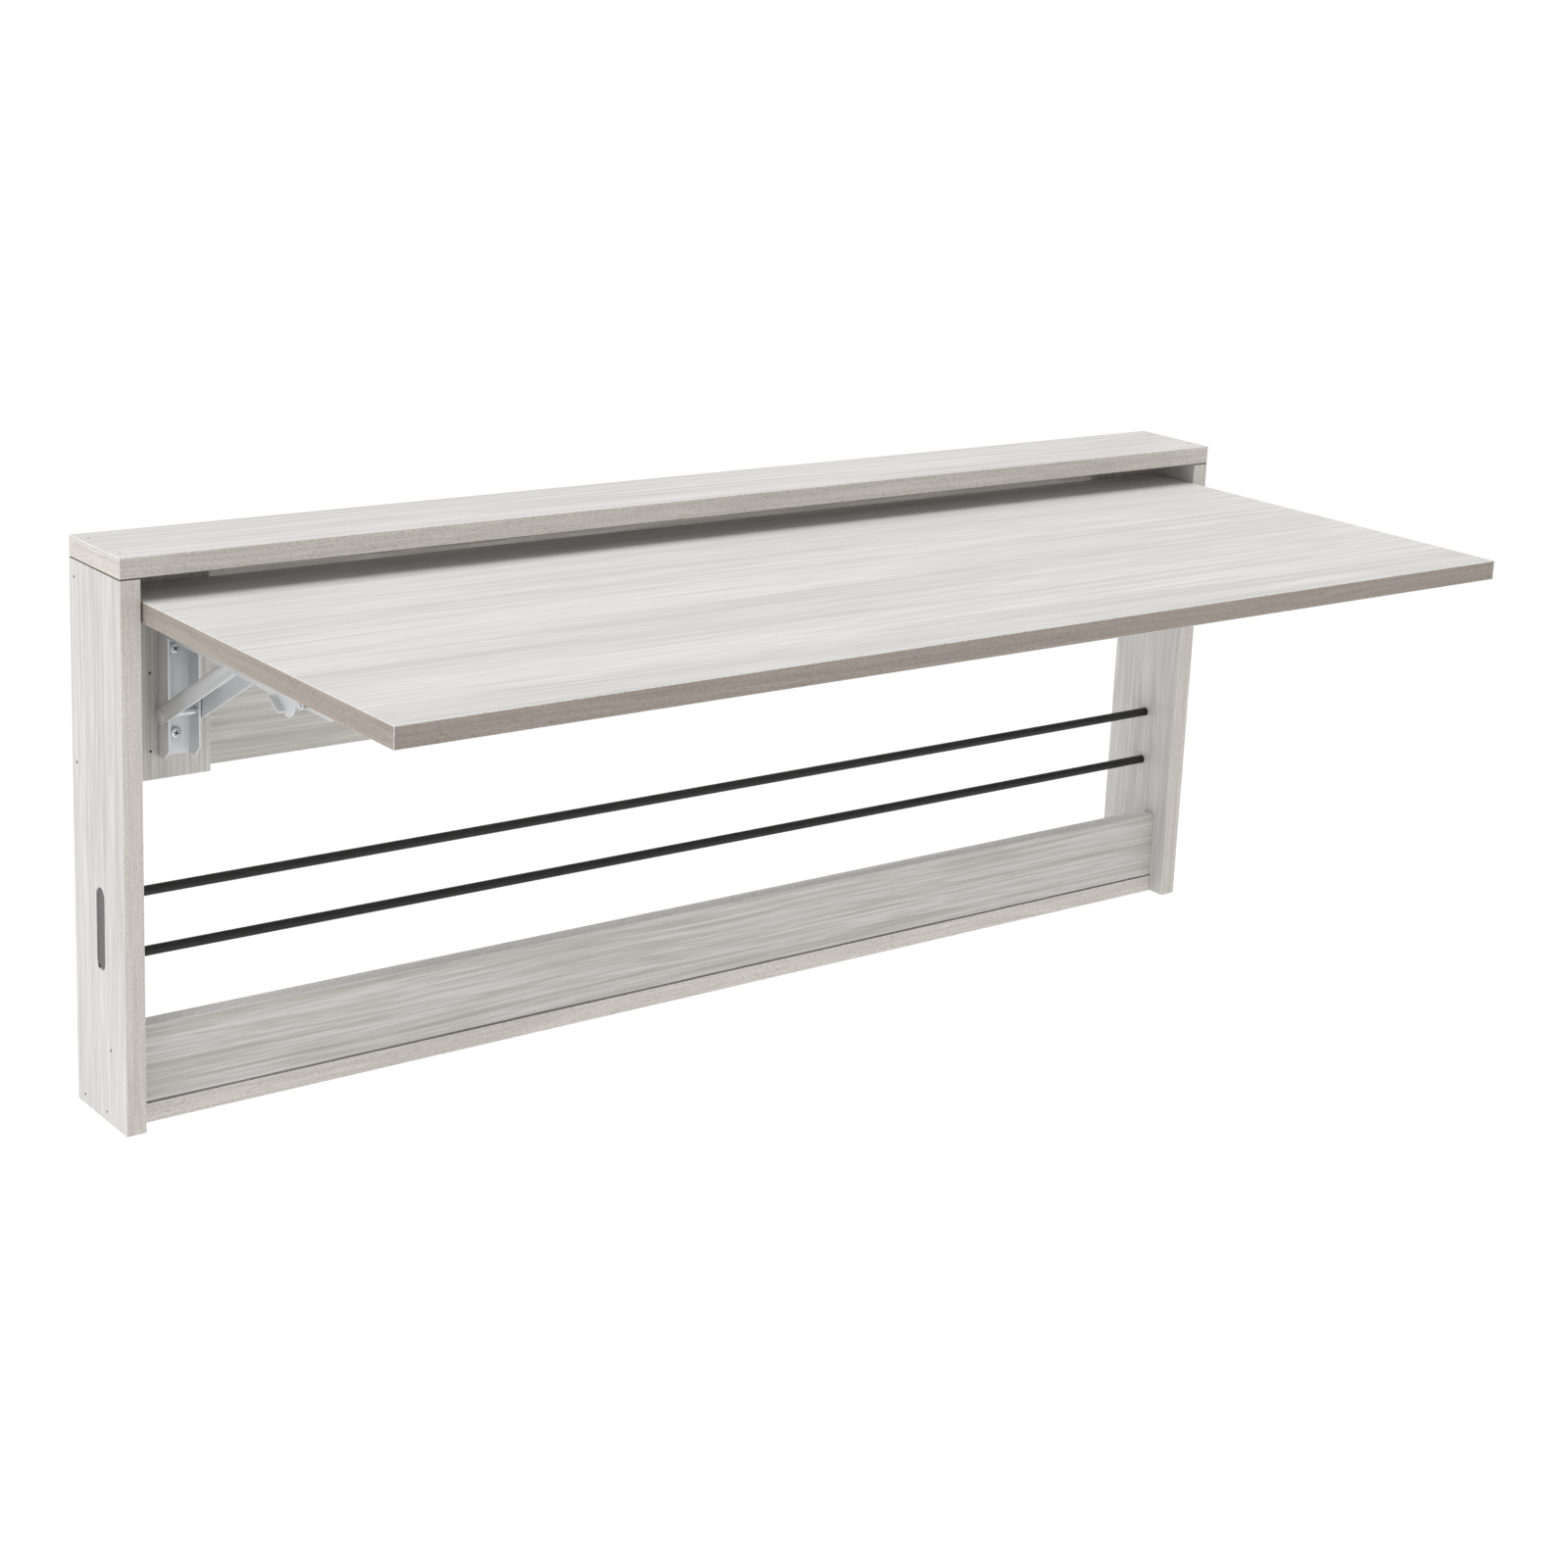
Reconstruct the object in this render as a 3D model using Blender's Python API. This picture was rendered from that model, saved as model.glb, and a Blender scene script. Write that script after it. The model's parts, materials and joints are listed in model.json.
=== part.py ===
"""Wall-mounted fold-down drying rack.

A shallow open frame of 15 mm laminated board hangs on a wall. A table panel folds down into the
frame, and two folding strut brackets hold it level when it is lifted. Two steel rods run across
the frame below it, for hanging.

Metres, +Z up. X runs along the wall, the wall is the plane Y = 0 and the front faces -Y. The
origin is on the back face of the upper back rail, at the middle of the rail. The table is
modelled lifted, with the brackets open.
"""

from math import acos, atan2, cos, hypot, pi, radians, sin, sqrt

import bmesh
import bpy
from mathutils import Matrix, Vector

# Overall sizes
WIDTH = 1.020
HEIGHT = 0.416
DEPTH = 0.082

# Boards
BOARD = 0.015
JOINT_GAP = 0.0003
EDGE_BREAK = 0.0004
BACK_RAIL_HEIGHT = 0.160
FRONT_RAIL_HEIGHT = 0.058
SHELF_RECESS = 0.016
FRONT_RAIL_RECESS = 0.017
CLEAT_WIDTH = 0.075

# Folding table: how it clears the frame
TABLE_SIDE_GAP = 0.0015
FOLD_RECESS = 0.0005
FOLD_FLOOR_GAP = 0.0015
TABLE_BACK_GAP = 0.002
SWING_CLEARANCE = 0.0026
HINGE_DROP = 0.006

# Folding brackets
BRACKET_INSET = 0.062
SHEET = 0.0015
BEND_RADIUS = 0.0022
WALL_CHANNEL_WIDTH = 0.0245
WALL_CHANNEL_DEPTH = 0.0175
STRUT_GAP = 0.0009
STRUT_SHEET = 0.0016
TABLE_CHANNEL_GAP = 0.00125
TABLE_CHANNEL_DEPTH = 0.0185
PIN_DIAMETER = 0.005
PIN_CLEARANCE = 0.0003
PIVOT_DROP = 0.072
PIVOT_FROM_CLEAT = 0.0125
SLOT_LINE = 0.0095
STRUT_LENGTH = 0.140
STRUT_ABOVE = 0.0071
STRUT_BELOW = 0.0060
STRUT_TAIL = 0.003
STRUT_WEB_START = 0.038
STRUT_WEB_END = 0.012
STRUT_WEB_CUT = 0.0012
WALL_CHANNEL_BELOW_PIVOT = 0.033
WALL_CHANNEL_CHAMFER = 0.0074
EAR_RADIUS = 0.005
EAR_START_DROP = 0.013
TABLE_CHANNEL_BEHIND_HINGE = 0.0065
TABLE_CHANNEL_NOSE = 0.0275
TABLE_CHANNEL_CHAMFER = 0.006
RIVET_SPREAD = 0.0015
RIVET_HEIGHT = 0.0012
HINGE_COLLAR = 0.0010
LOCK_PIN_PAST_LEVER = 0.0005

# Release lever, on the outside of the table channel
LEVER_GAP = 0.0034
LEVER_PIN_DIAMETER = 0.0024
LEVER_PIN_FROM_LOCK = 0.0966
LEVER_PIN_ABOVE_EDGE = 0.0033
LEVER_NOSE_GAP = 0.0006
LEVER_NOSE_FROM_PIN = 0.003
LEVER_TAB_DROP = 0.0085
LEVER_TAB_RADIUS = 0.0085
LEVER_TAB_FROM_PIN = 0.017
LEVER_NOSE_LENGTH = 0.0535
LEVER_NOSE_DEPTH = 0.0042
LEVER_NECK_ABOVE_EDGE = 0.0012
LEVER_EYE_WALL = 0.0017
LEVER_LIP = 0.004
LEVER_LIP_MARGIN = 0.0015
LEVER_LIP_SHEET = 0.0013
LEVER_PIN_SPREAD = 0.0007
LEVER_PIN_HEAD = 0.0007
LEVER_PIN_INSIDE = 0.0002
SPRING_WIRE = 0.0008
SPRING_TURNS = 2
SPRING_TURN_GAP = 0.0001
SPRING_LEG = 0.008

# Hanging rods and the plate that joins their left ends
ROD_DIAMETER = 0.0073
ROD_CLEARANCE = 0.0009
LOWER_ROD_HEIGHT = 0.120
UPPER_ROD_HEIGHT = 0.165
ROD_SOCKET_DEPTH = 0.010
END_PLATE_WIDTH = 0.013
END_PLATE_THICKNESS = 0.002
END_PLATE_SINK = 0.0007
END_SLOT_SPARE = 0.0015

# Fasteners
SCREW_HEAD_DIAMETER = 0.0082
SCREW_HEAD_HEIGHT = 0.0024
SCREW_DIAMETER = 0.0038
SCREW_GAP = 0.0004
WALL_SCREW_LENGTH = 0.0145
TABLE_SCREW_LENGTH = 0.0125
WALL_SCREW_UP = 0.0445
WALL_SCREW_DOWN = 0.017
TABLE_SCREW_FROM_HINGE = 0.048
TABLE_SCREW_PAST_SLOT = 0.013
BRAD_DIAMETER = 0.0016
BRAD_LENGTH = 0.030
BRAD_SINK = 0.0004
CLEAT_BRAD_LENGTH = 0.026
RAIL_BRAD_FROM_TOP = 0.013
RAIL_BRAD_FROM_BOTTOM = 0.014
FRONT_RAIL_BRAD_SHARE = 0.72
SHELF_BRAD_FROM_FRONT = 0.033
SHELF_BRAD_FROM_WALL = 0.012
CAP_BRAD_INSET = 0.016
CLEAT_BRAD_FROM_PANEL = 0.0295
CLEAT_BRAD_UP = 0.028
CLEAT_BRAD_DOWN = 0.029

# Worked out from the sizes above. FRONT is the plane of the frame's front edges.
FRONT = -DEPTH
HALF = WIDTH / 2
CAP_UNDER = BACK_RAIL_HEIGHT / 2
TOP = CAP_UNDER + BOARD
BOTTOM = TOP - HEIGHT
RAIL_BOTTOM = -BACK_RAIL_HEIGHT / 2
INNER = HALF - BOARD
RAIL_FRONT = -BOARD
CLEAT_FRONT = RAIL_FRONT - JOINT_GAP - BOARD

# Fold axis: the folded table lies just inside the front plane, and its back corner clears the cap.
HINGE_Y = FRONT + FOLD_RECESS + BOARD + HINGE_DROP
TABLE_BACK = CLEAT_FRONT - TABLE_BACK_GAP
SWING_RADIUS = hypot(TABLE_BACK - HINGE_Y, BOARD + HINGE_DROP)
HINGE_Z = CAP_UNDER - SWING_RADIUS - SWING_CLEARANCE
TABLE_UNDER = HINGE_Z + HINGE_DROP
TABLE_FRONT = HINGE_Y - (HINGE_Z - BOTTOM - FOLD_FLOOR_GAP)

# Strut pivot on the wall channel, and the lock pin at the strut's other end
PIVOT_Y = CLEAT_FRONT - PIVOT_FROM_CLEAT
PIVOT_Z = HINGE_Z - PIVOT_DROP
LOCK_Z = TABLE_UNDER - SLOT_LINE
LOCK_Y = PIVOT_Y - sqrt(STRUT_LENGTH**2 - (LOCK_Z - PIVOT_Z) ** 2)
FOLDED_LOCK_Y = HINGE_Y + HINGE_Z - LOCK_Z
FOLDED_REACH = PIVOT_DROP + sqrt(STRUT_LENGTH**2 - (PIVOT_Y - FOLDED_LOCK_Y) ** 2)
STRUT_LEAN = atan2(LOCK_Z - PIVOT_Z, PIVOT_Y - LOCK_Y)

# Half widths of the nested channels, from the bracket's middle outwards
WALL_HALF = WALL_CHANNEL_WIDTH / 2
STRUT_INNER = WALL_HALF + STRUT_GAP
STRUT_HALF = STRUT_INNER + STRUT_SHEET
TABLE_INNER = STRUT_HALF + TABLE_CHANNEL_GAP
TABLE_HALF = TABLE_INNER + SHEET
CHANNEL_BACK = CLEAT_FRONT - JOINT_GAP
CHANNEL_TOP = TABLE_UNDER - JOINT_GAP
CHANNEL_EDGE = CHANNEL_TOP - TABLE_CHANNEL_DEPTH
LEVER_PIN_Y = LOCK_Y - LEVER_PIN_FROM_LOCK
LEVER_PIN_Z = CHANNEL_EDGE + LEVER_PIN_ABOVE_EDGE
HOLE = PIN_DIAMETER / 2 + PIN_CLEARANCE

# Rods: just behind the folded table channels
ROD_Y = FRONT + FOLD_RECESS + BOARD + TABLE_CHANNEL_DEPTH + JOINT_GAP + ROD_CLEARANCE + ROD_DIAMETER / 2
ROD_HEIGHTS = {"upper": BOTTOM + UPPER_ROD_HEIGHT, "lower": BOTTOM + LOWER_ROD_HEIGHT}
ROD_HOLE = ROD_DIAMETER / 2 + PIN_CLEARANCE

ROUND = 16
FINE_ROUND = 20
OVERSHOOT = 0.004


# Scene and materials


def clear_scene():
    for obj in list(bpy.data.objects):
        bpy.data.objects.remove(obj, do_unlink=True)


def material(name, colour, roughness, metallic=0.0):
    mat = bpy.data.materials.get(name) or bpy.data.materials.new(name)
    mat.use_nodes = True
    shader = mat.node_tree.nodes["Principled BSDF"]
    shader.inputs["Base Color"].default_value = (*colour, 1.0)
    shader.inputs["Roughness"].default_value = roughness
    shader.inputs["Metallic"].default_value = metallic
    mat.diffuse_color = (*colour, 1.0)
    return mat


def finishes():
    return {
        "laminate": material("whitewashed_laminate", (0.76, 0.74, 0.71), 0.55),
        "paint": material("light_grey_paint", (0.72, 0.73, 0.74), 0.4, 0.2),
        "rod": material("black_coated_steel", (0.02, 0.02, 0.02), 0.45, 0.3),
        "plate": material("dark_steel_plate", (0.13, 0.13, 0.13), 0.5, 0.6),
        "zinc": material("zinc_plated_steel", (0.74, 0.75, 0.76), 0.28, 1.0),
        "brad": material("dark_brad_steel", (0.10, 0.09, 0.08), 0.5, 0.8),
    }


# Mesh tools


def named_object(name, bm, finish, origin=(0, 0, 0)):
    """An object of this mesh, which is given in world places, with its origin at the given point."""
    bmesh.ops.recalc_face_normals(bm, faces=bm.faces)
    bmesh.ops.translate(bm, verts=bm.verts, vec=-Vector(origin))
    mesh = bpy.data.meshes.new(name)
    bm.to_mesh(mesh)
    bm.free()
    obj = bpy.data.objects.new(name, mesh)
    obj.location = origin
    bpy.context.scene.collection.objects.link(obj)
    if finish:
        mesh.materials.append(finish)
    return obj


def smooth(obj, angle=30):
    obj.data.shade_smooth()
    obj.data.set_sharp_from_angle(angle=radians(angle))


def add_box(bm, low, high):
    made = bmesh.ops.create_cube(bm, size=1.0)
    size = Vector(high) - Vector(low)
    middle = (Vector(high) + Vector(low)) / 2
    bmesh.ops.scale(bm, verts=made["verts"], vec=size)
    bmesh.ops.translate(bm, verts=made["verts"], vec=middle)


def add_prism(bm, outline, low_x, high_x):
    """A side view outline of (y, z) points, extruded along X."""
    rim = [bm.verts.new((low_x, y, z)) for y, z in outline]
    face = bm.faces.new(rim)
    grown = bmesh.ops.extrude_face_region(bm, geom=[face])
    moved = [v for v in grown["geom"] if isinstance(v, bmesh.types.BMVert)]
    bmesh.ops.translate(bm, verts=moved, vec=(high_x - low_x, 0, 0))


def add_rod(bm, start, end, radius, segments=ROUND):
    """A round bar between two points."""
    start, end = Vector(start), Vector(end)
    along = end - start
    turn = along.to_track_quat("Z", "Y").to_matrix().to_4x4()
    place = Matrix.Translation((start + end) / 2) @ turn
    bmesh.ops.create_cone(
        bm,
        cap_ends=True,
        segments=segments,
        radius1=radius,
        radius2=radius,
        depth=along.length,
        matrix=place,
    )


def add_turned(bm, profile, place, segments=ROUND):
    """A turned shape: (along, radius) points from pole to pole, about the X axis of this place."""
    rim = [bm.verts.new(place @ Vector((along, radius, 0))) for along, radius in profile]
    edges = [bm.edges.new(pair) for pair in zip(rim, rim[1:])]
    axis = (place.to_3x3() @ Vector((1, 0, 0))).normalized()
    bmesh.ops.spin(
        bm,
        geom=rim + edges,
        cent=place.translation,
        axis=axis,
        angle=2 * pi,
        steps=segments,
        use_merge=True,
    )
    bmesh.ops.remove_doubles(bm, verts=bm.verts, dist=1e-6)


def cut(target, name, bm):
    """Takes this mesh out of the target."""
    cutter = named_object(f"{name}_cutter", bm, None)
    cutter.hide_render = True
    cutter.display_type = "WIRE"
    modifier = target.modifiers.new(name, "BOOLEAN")
    modifier.operation = "DIFFERENCE"
    modifier.solver = "EXACT"
    modifier.object = cutter


def arc(centre, radius, start, end, count):
    """Points on an arc in the side view, angles in radians from +Y towards +Z."""
    step = (end - start) / (count - 1)
    turns = [start + step * i for i in range(count)]
    return [(centre[0] + radius * cos(t), centre[1] + radius * sin(t)) for t in turns]


# Boards


def board(name, low, high, finish, origin=(0, 0, 0)):
    bm = bmesh.new()
    add_box(bm, low, high)
    bmesh.ops.bevel(
        bm, geom=bm.edges[:], offset=EDGE_BREAK, segments=1, profile=0.5, affect="EDGES", material=-1
    )
    return named_object(name, bm, finish, origin)


def brad_lines():
    """Each brad's name, the point where it enters the board's face, and its direction."""
    lines = {}
    for side, sign in (("left", -1), ("right", 1)):
        across = Vector((-sign, 0, 0))
        face = sign * HALF
        rail_y = RAIL_FRONT / 2
        upper, lower = CAP_UNDER - RAIL_BRAD_FROM_TOP, RAIL_BOTTOM + RAIL_BRAD_FROM_BOTTOM
        lines[f"{side}_rail_brad_upper"] = (Vector((face, rail_y, upper)), across)
        lines[f"{side}_rail_brad_lower"] = (Vector((face, rail_y, lower)), across)
        front_rail_y = FRONT + FRONT_RAIL_RECESS + BOARD / 2
        front_rail_z = BOTTOM + BOARD + FRONT_RAIL_HEIGHT * FRONT_RAIL_BRAD_SHARE
        lines[f"{side}_front_rail_brad"] = (Vector((face, front_rail_y, front_rail_z)), across)
        shelf_z = BOTTOM + BOARD / 2
        shelf_y = FRONT + SHELF_BRAD_FROM_FRONT
        lines[f"{side}_shelf_brad_front"] = (Vector((face, shelf_y, shelf_z)), across)
        lines[f"{side}_shelf_brad_back"] = (Vector((face, -SHELF_BRAD_FROM_WALL, shelf_z)), across)
        down = Vector((0, 0, -1))
        cap_x = sign * (HALF - BOARD / 2)
        lines[f"{side}_cap_brad_front"] = (Vector((cap_x, FRONT + CAP_BRAD_INSET, TOP)), down)
        lines[f"{side}_cap_brad_back"] = (Vector((cap_x, -CAP_BRAD_INSET, TOP)), down)
        inward = Vector((0, 1, 0))
        cleat_x = sign * (INNER - CLEAT_BRAD_FROM_PANEL)
        for level, z in (("upper", PIVOT_Z + CLEAT_BRAD_UP), ("lower", PIVOT_Z - CLEAT_BRAD_DOWN)):
            point = Vector((cleat_x, CLEAT_FRONT, z))
            lines[f"{side}_cleat_brad_{level}"] = (point, inward)
    return lines


def brad_reach(name):
    """A cleat brad stops inside the back rail behind the cleat."""
    return CLEAT_BRAD_LENGTH if "cleat" in name else BRAD_LENGTH


def add_brad_hole(bm, name):
    point, along = brad_lines()[name]
    radius = BRAD_DIAMETER / 2 + PIN_CLEARANCE
    reach = brad_reach(name) + BRAD_SINK + PIN_CLEARANCE
    add_rod(bm, point - along * OVERSHOOT, point + along * reach, radius, 8)


def build_frame(finish):
    laminate = finish["laminate"]
    brads = list(brad_lines())
    cap = board("top_panel", (-HALF, FRONT, CAP_UNDER), (HALF, 0, TOP), laminate)
    holes = bmesh.new()
    for name in brads:
        if "_cap_" in name:
            add_brad_hole(holes, name)
    cut(cap, "top_panel_brad_holes", holes)

    under_cap = CAP_UNDER - JOINT_GAP
    inner = INNER - JOINT_GAP
    rail = board("upper_back_rail", (-inner, RAIL_FRONT, RAIL_BOTTOM), (inner, 0, under_cap), laminate)
    shelf_front = FRONT + SHELF_RECESS
    shelf = board("bottom_shelf", (-inner, shelf_front, BOTTOM), (inner, 0, BOTTOM + BOARD), laminate)
    low = (-inner, FRONT + FRONT_RAIL_RECESS, BOTTOM + BOARD + JOINT_GAP)
    high = (inner, FRONT + FRONT_RAIL_RECESS + BOARD, BOTTOM + BOARD + FRONT_RAIL_HEIGHT)
    front_rail = board("lower_front_rail", low, high, laminate)
    for target, word in ((rail, "rail_brad"), (shelf, "shelf_brad"), (front_rail, "front_rail_brad")):
        holes = bmesh.new()
        for name in brads:
            is_front = "front_rail" in name
            wanted = word in name and (is_front == (target is front_rail))
            also = target is rail and "_cleat_" in name
            if wanted or also:
                add_brad_hole(holes, name)
        cut(target, f"{target.name}_brad_holes", holes)

    for side, sign in (("left", -1), ("right", 1)):
        xs = sorted((sign * HALF, sign * INNER))
        panel = board(f"{side}_side_panel", (xs[0], FRONT, BOTTOM), (xs[1], 0, under_cap), laminate)
        holes = bmesh.new()
        for name in brads:
            if name.startswith(side) and "_cleat_" not in name:
                add_brad_hole(holes, name)
        cut(panel, f"{side}_side_panel_brad_holes", holes)
        if side == "left":
            recess = bmesh.new()
            add_end_plate_recess(recess)
            cut(panel, "end_plate_recess", recess)
        holes = bmesh.new()
        for z in ROD_HEIGHTS.values():
            add_rod_hole(holes, sign, z)
        cut(panel, f"{side}_side_panel_rod_holes", holes)

        xs = sorted((sign * (INNER - JOINT_GAP), sign * (INNER - CLEAT_WIDTH)))
        cleat = board(
            f"{side}_bracket_cleat",
            (xs[0], CLEAT_FRONT, RAIL_BOTTOM),
            (xs[1], RAIL_FRONT - JOINT_GAP, under_cap),
            laminate,
        )
        holes = bmesh.new()
        for name in brads:
            if name.startswith(side) and "_cleat_" in name:
                add_brad_hole(holes, name)
        for z in wall_screw_heights().values():
            x = bracket_middle(sign)
            end = CLEAT_FRONT + WALL_SCREW_LENGTH - SHEET
            radius = SCREW_DIAMETER / 2 + SCREW_GAP
            add_rod(holes, (x, CLEAT_FRONT - OVERSHOOT, z), (x, end, z), radius, 10)
        cut(cleat, f"{side}_bracket_cleat_holes", holes)


def build_brads(finish):
    for name, (point, along) in brad_lines().items():
        bm = bmesh.new()
        start = point + along * BRAD_SINK
        end = point + along * (brad_reach(name) + BRAD_SINK)
        add_rod(bm, start, end, BRAD_DIAMETER / 2, 8)
        smooth(named_object(name, bm, finish["brad"]), 50)


# Rods


def pill(width, low, high, count=7):
    """A rounded slot outline about the rods' depth."""
    radius = width / 2
    upper = arc((ROD_Y, high), radius, 0, pi, count)
    lower = arc((ROD_Y, low), radius, pi, 2 * pi, count)
    return upper + lower


def add_end_plate_recess(bm):
    """A routed pocket in the left panel's outer face. It runs as deep as the plate and its gap."""
    width = END_PLATE_WIDTH + 2 * PIN_CLEARANCE
    low, high = ROD_HEIGHTS["lower"] - END_SLOT_SPARE, ROD_HEIGHTS["upper"] + END_SLOT_SPARE
    outline = pill(width, low, high)
    floor = -HALF + END_PLATE_SINK + END_PLATE_THICKNESS + JOINT_GAP
    add_prism(bm, outline, -HALF - OVERSHOOT, floor)


def add_rod_hole(bm, sign, z):
    """A blind socket in the right panel. On the left the hole runs out through the plate's pocket."""
    end = INNER + ROD_SOCKET_DEPTH if sign > 0 else HALF + OVERSHOOT
    add_rod(bm, (sign * (INNER - OVERSHOOT), ROD_Y, z), (sign * end, ROD_Y, z), ROD_HOLE)


def build_rods(finish):
    start = -HALF + END_PLATE_SINK + END_PLATE_THICKNESS + 2 * JOINT_GAP
    end = INNER + ROD_SOCKET_DEPTH - JOINT_GAP
    for level, z in ROD_HEIGHTS.items():
        bm = bmesh.new()
        add_rod(bm, (start, ROD_Y, z), (end, ROD_Y, z), ROD_DIAMETER / 2, FINE_ROUND)
        smooth(named_object(f"{level}_hanging_rod", bm, finish["rod"]))
    bm = bmesh.new()
    outline = pill(END_PLATE_WIDTH, ROD_HEIGHTS["lower"], ROD_HEIGHTS["upper"])
    outer = -HALF + END_PLATE_SINK
    add_prism(bm, outline, outer, outer + END_PLATE_THICKNESS)
    smooth(named_object("rod_end_plate", bm, finish["plate"]))


# Folding brackets


def bracket_middle(sign):
    return sign * (HALF - BRACKET_INSET)


def wall_screw_heights():
    return {"upper": PIVOT_Z + WALL_SCREW_UP, "lower": PIVOT_Z - WALL_SCREW_DOWN}


def table_screw_places():
    """Behind the strut, past the end of the slot, and halfway between."""
    first = HINGE_Y - TABLE_SCREW_FROM_HINGE
    last = HINGE_Y - FOLDED_REACH - TABLE_SCREW_PAST_SLOT
    return {1: first, 2: (first + last) / 2, 3: last}


def trough(middle, half, sheet, back, open_end):
    """Plan outline of a bent channel: (x, v) points, its web at v = back, its legs to open_end."""
    way = 1 if open_end > back else -1
    turns = [pi / 2 * i / 3 for i in range(4)]
    outer = []
    inner = []
    for side in (-1, 1):
        quarter = turns if side < 0 else turns[::-1]
        for t in quarter:
            x = half - BEND_RADIUS * (1 - cos(t))
            v = BEND_RADIUS * (1 - sin(t))
            outer.append((middle + side * x, back + way * v))
            tight = BEND_RADIUS - sheet
            x = half - sheet - tight * (1 - cos(t))
            v = sheet + tight * (1 - sin(t))
            inner.append((middle + side * x, back + way * v))
    left, right = middle - half, middle + half
    legs_out = [(left, open_end), *outer, (right, open_end)]
    legs_in = [(right - sheet, open_end), *inner[::-1], (left + sheet, open_end)]
    return legs_out + legs_in


def add_trough(bm, outline, start, end, place):
    """The channel outline, extruded from start to end and put where place says."""
    rim = [bm.verts.new(place(x, v, start)) for x, v in outline]
    face = bm.faces.new(rim)
    grown = bmesh.ops.extrude_face_region(bm, geom=[face])
    moved = [v for v in grown["geom"] if isinstance(v, bmesh.types.BMVert)]
    shift = place(0, 0, end) - place(0, 0, start)
    bmesh.ops.translate(bm, verts=moved, vec=shift)


def keep_inside(target, name, bm):
    """Trims the target to the side view outline of this mesh."""
    cut(target, name, bm)
    target.modifiers[-1].operation = "INTERSECT"


def build_wall_channel(side, middle, finish):
    name = f"{side}_wall_channel"
    bottom = PIVOT_Z - WALL_CHANNEL_BELOW_PIVOT
    top = HINGE_Z + EAR_RADIUS
    reach = HINGE_Y - EAR_RADIUS
    bm = bmesh.new()
    outline = trough(middle, WALL_HALF, SHEET, CHANNEL_BACK, reach - OVERSHOOT)
    add_trough(bm, outline, bottom, top, lambda x, v, w: Vector((x, v, w)))
    obj = named_object(name, bm, finish["paint"])

    front = CHANNEL_BACK - WALL_CHANNEL_DEPTH
    chamfer = WALL_CHANNEL_CHAMFER
    back = CHANNEL_BACK + OVERSHOOT
    ear = arc((HINGE_Y, HINGE_Z), EAR_RADIUS, radians(220), radians(90), 9)
    shape = [
        (back, bottom - OVERSHOOT),
        (front + chamfer, bottom - OVERSHOOT),
        (front + chamfer, bottom),
        (front, bottom + chamfer),
        (front, HINGE_Z - EAR_START_DROP),
        *ear,
        (back, top + OVERSHOOT),
    ]
    bm = bmesh.new()
    add_prism(bm, shape, middle - WALL_HALF - OVERSHOOT, middle + WALL_HALF + OVERSHOOT)
    keep_inside(obj, f"{name}_trim", bm)

    holes = bmesh.new()
    for y, z in ((HINGE_Y, HINGE_Z), (PIVOT_Y, PIVOT_Z)):
        wide = WALL_HALF + OVERSHOOT
        add_rod(holes, (middle - wide, y, z), (middle + wide, y, z), HOLE, FINE_ROUND)
    for z in wall_screw_heights().values():
        radius = SCREW_DIAMETER / 2 + SCREW_GAP
        inside = CHANNEL_BACK - SHEET - OVERSHOOT / 2
        add_rod(holes, (middle, inside, z), (middle, CHANNEL_BACK + OVERSHOOT, z), radius)
    cut(obj, f"{name}_holes", holes)
    smooth(obj)


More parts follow.
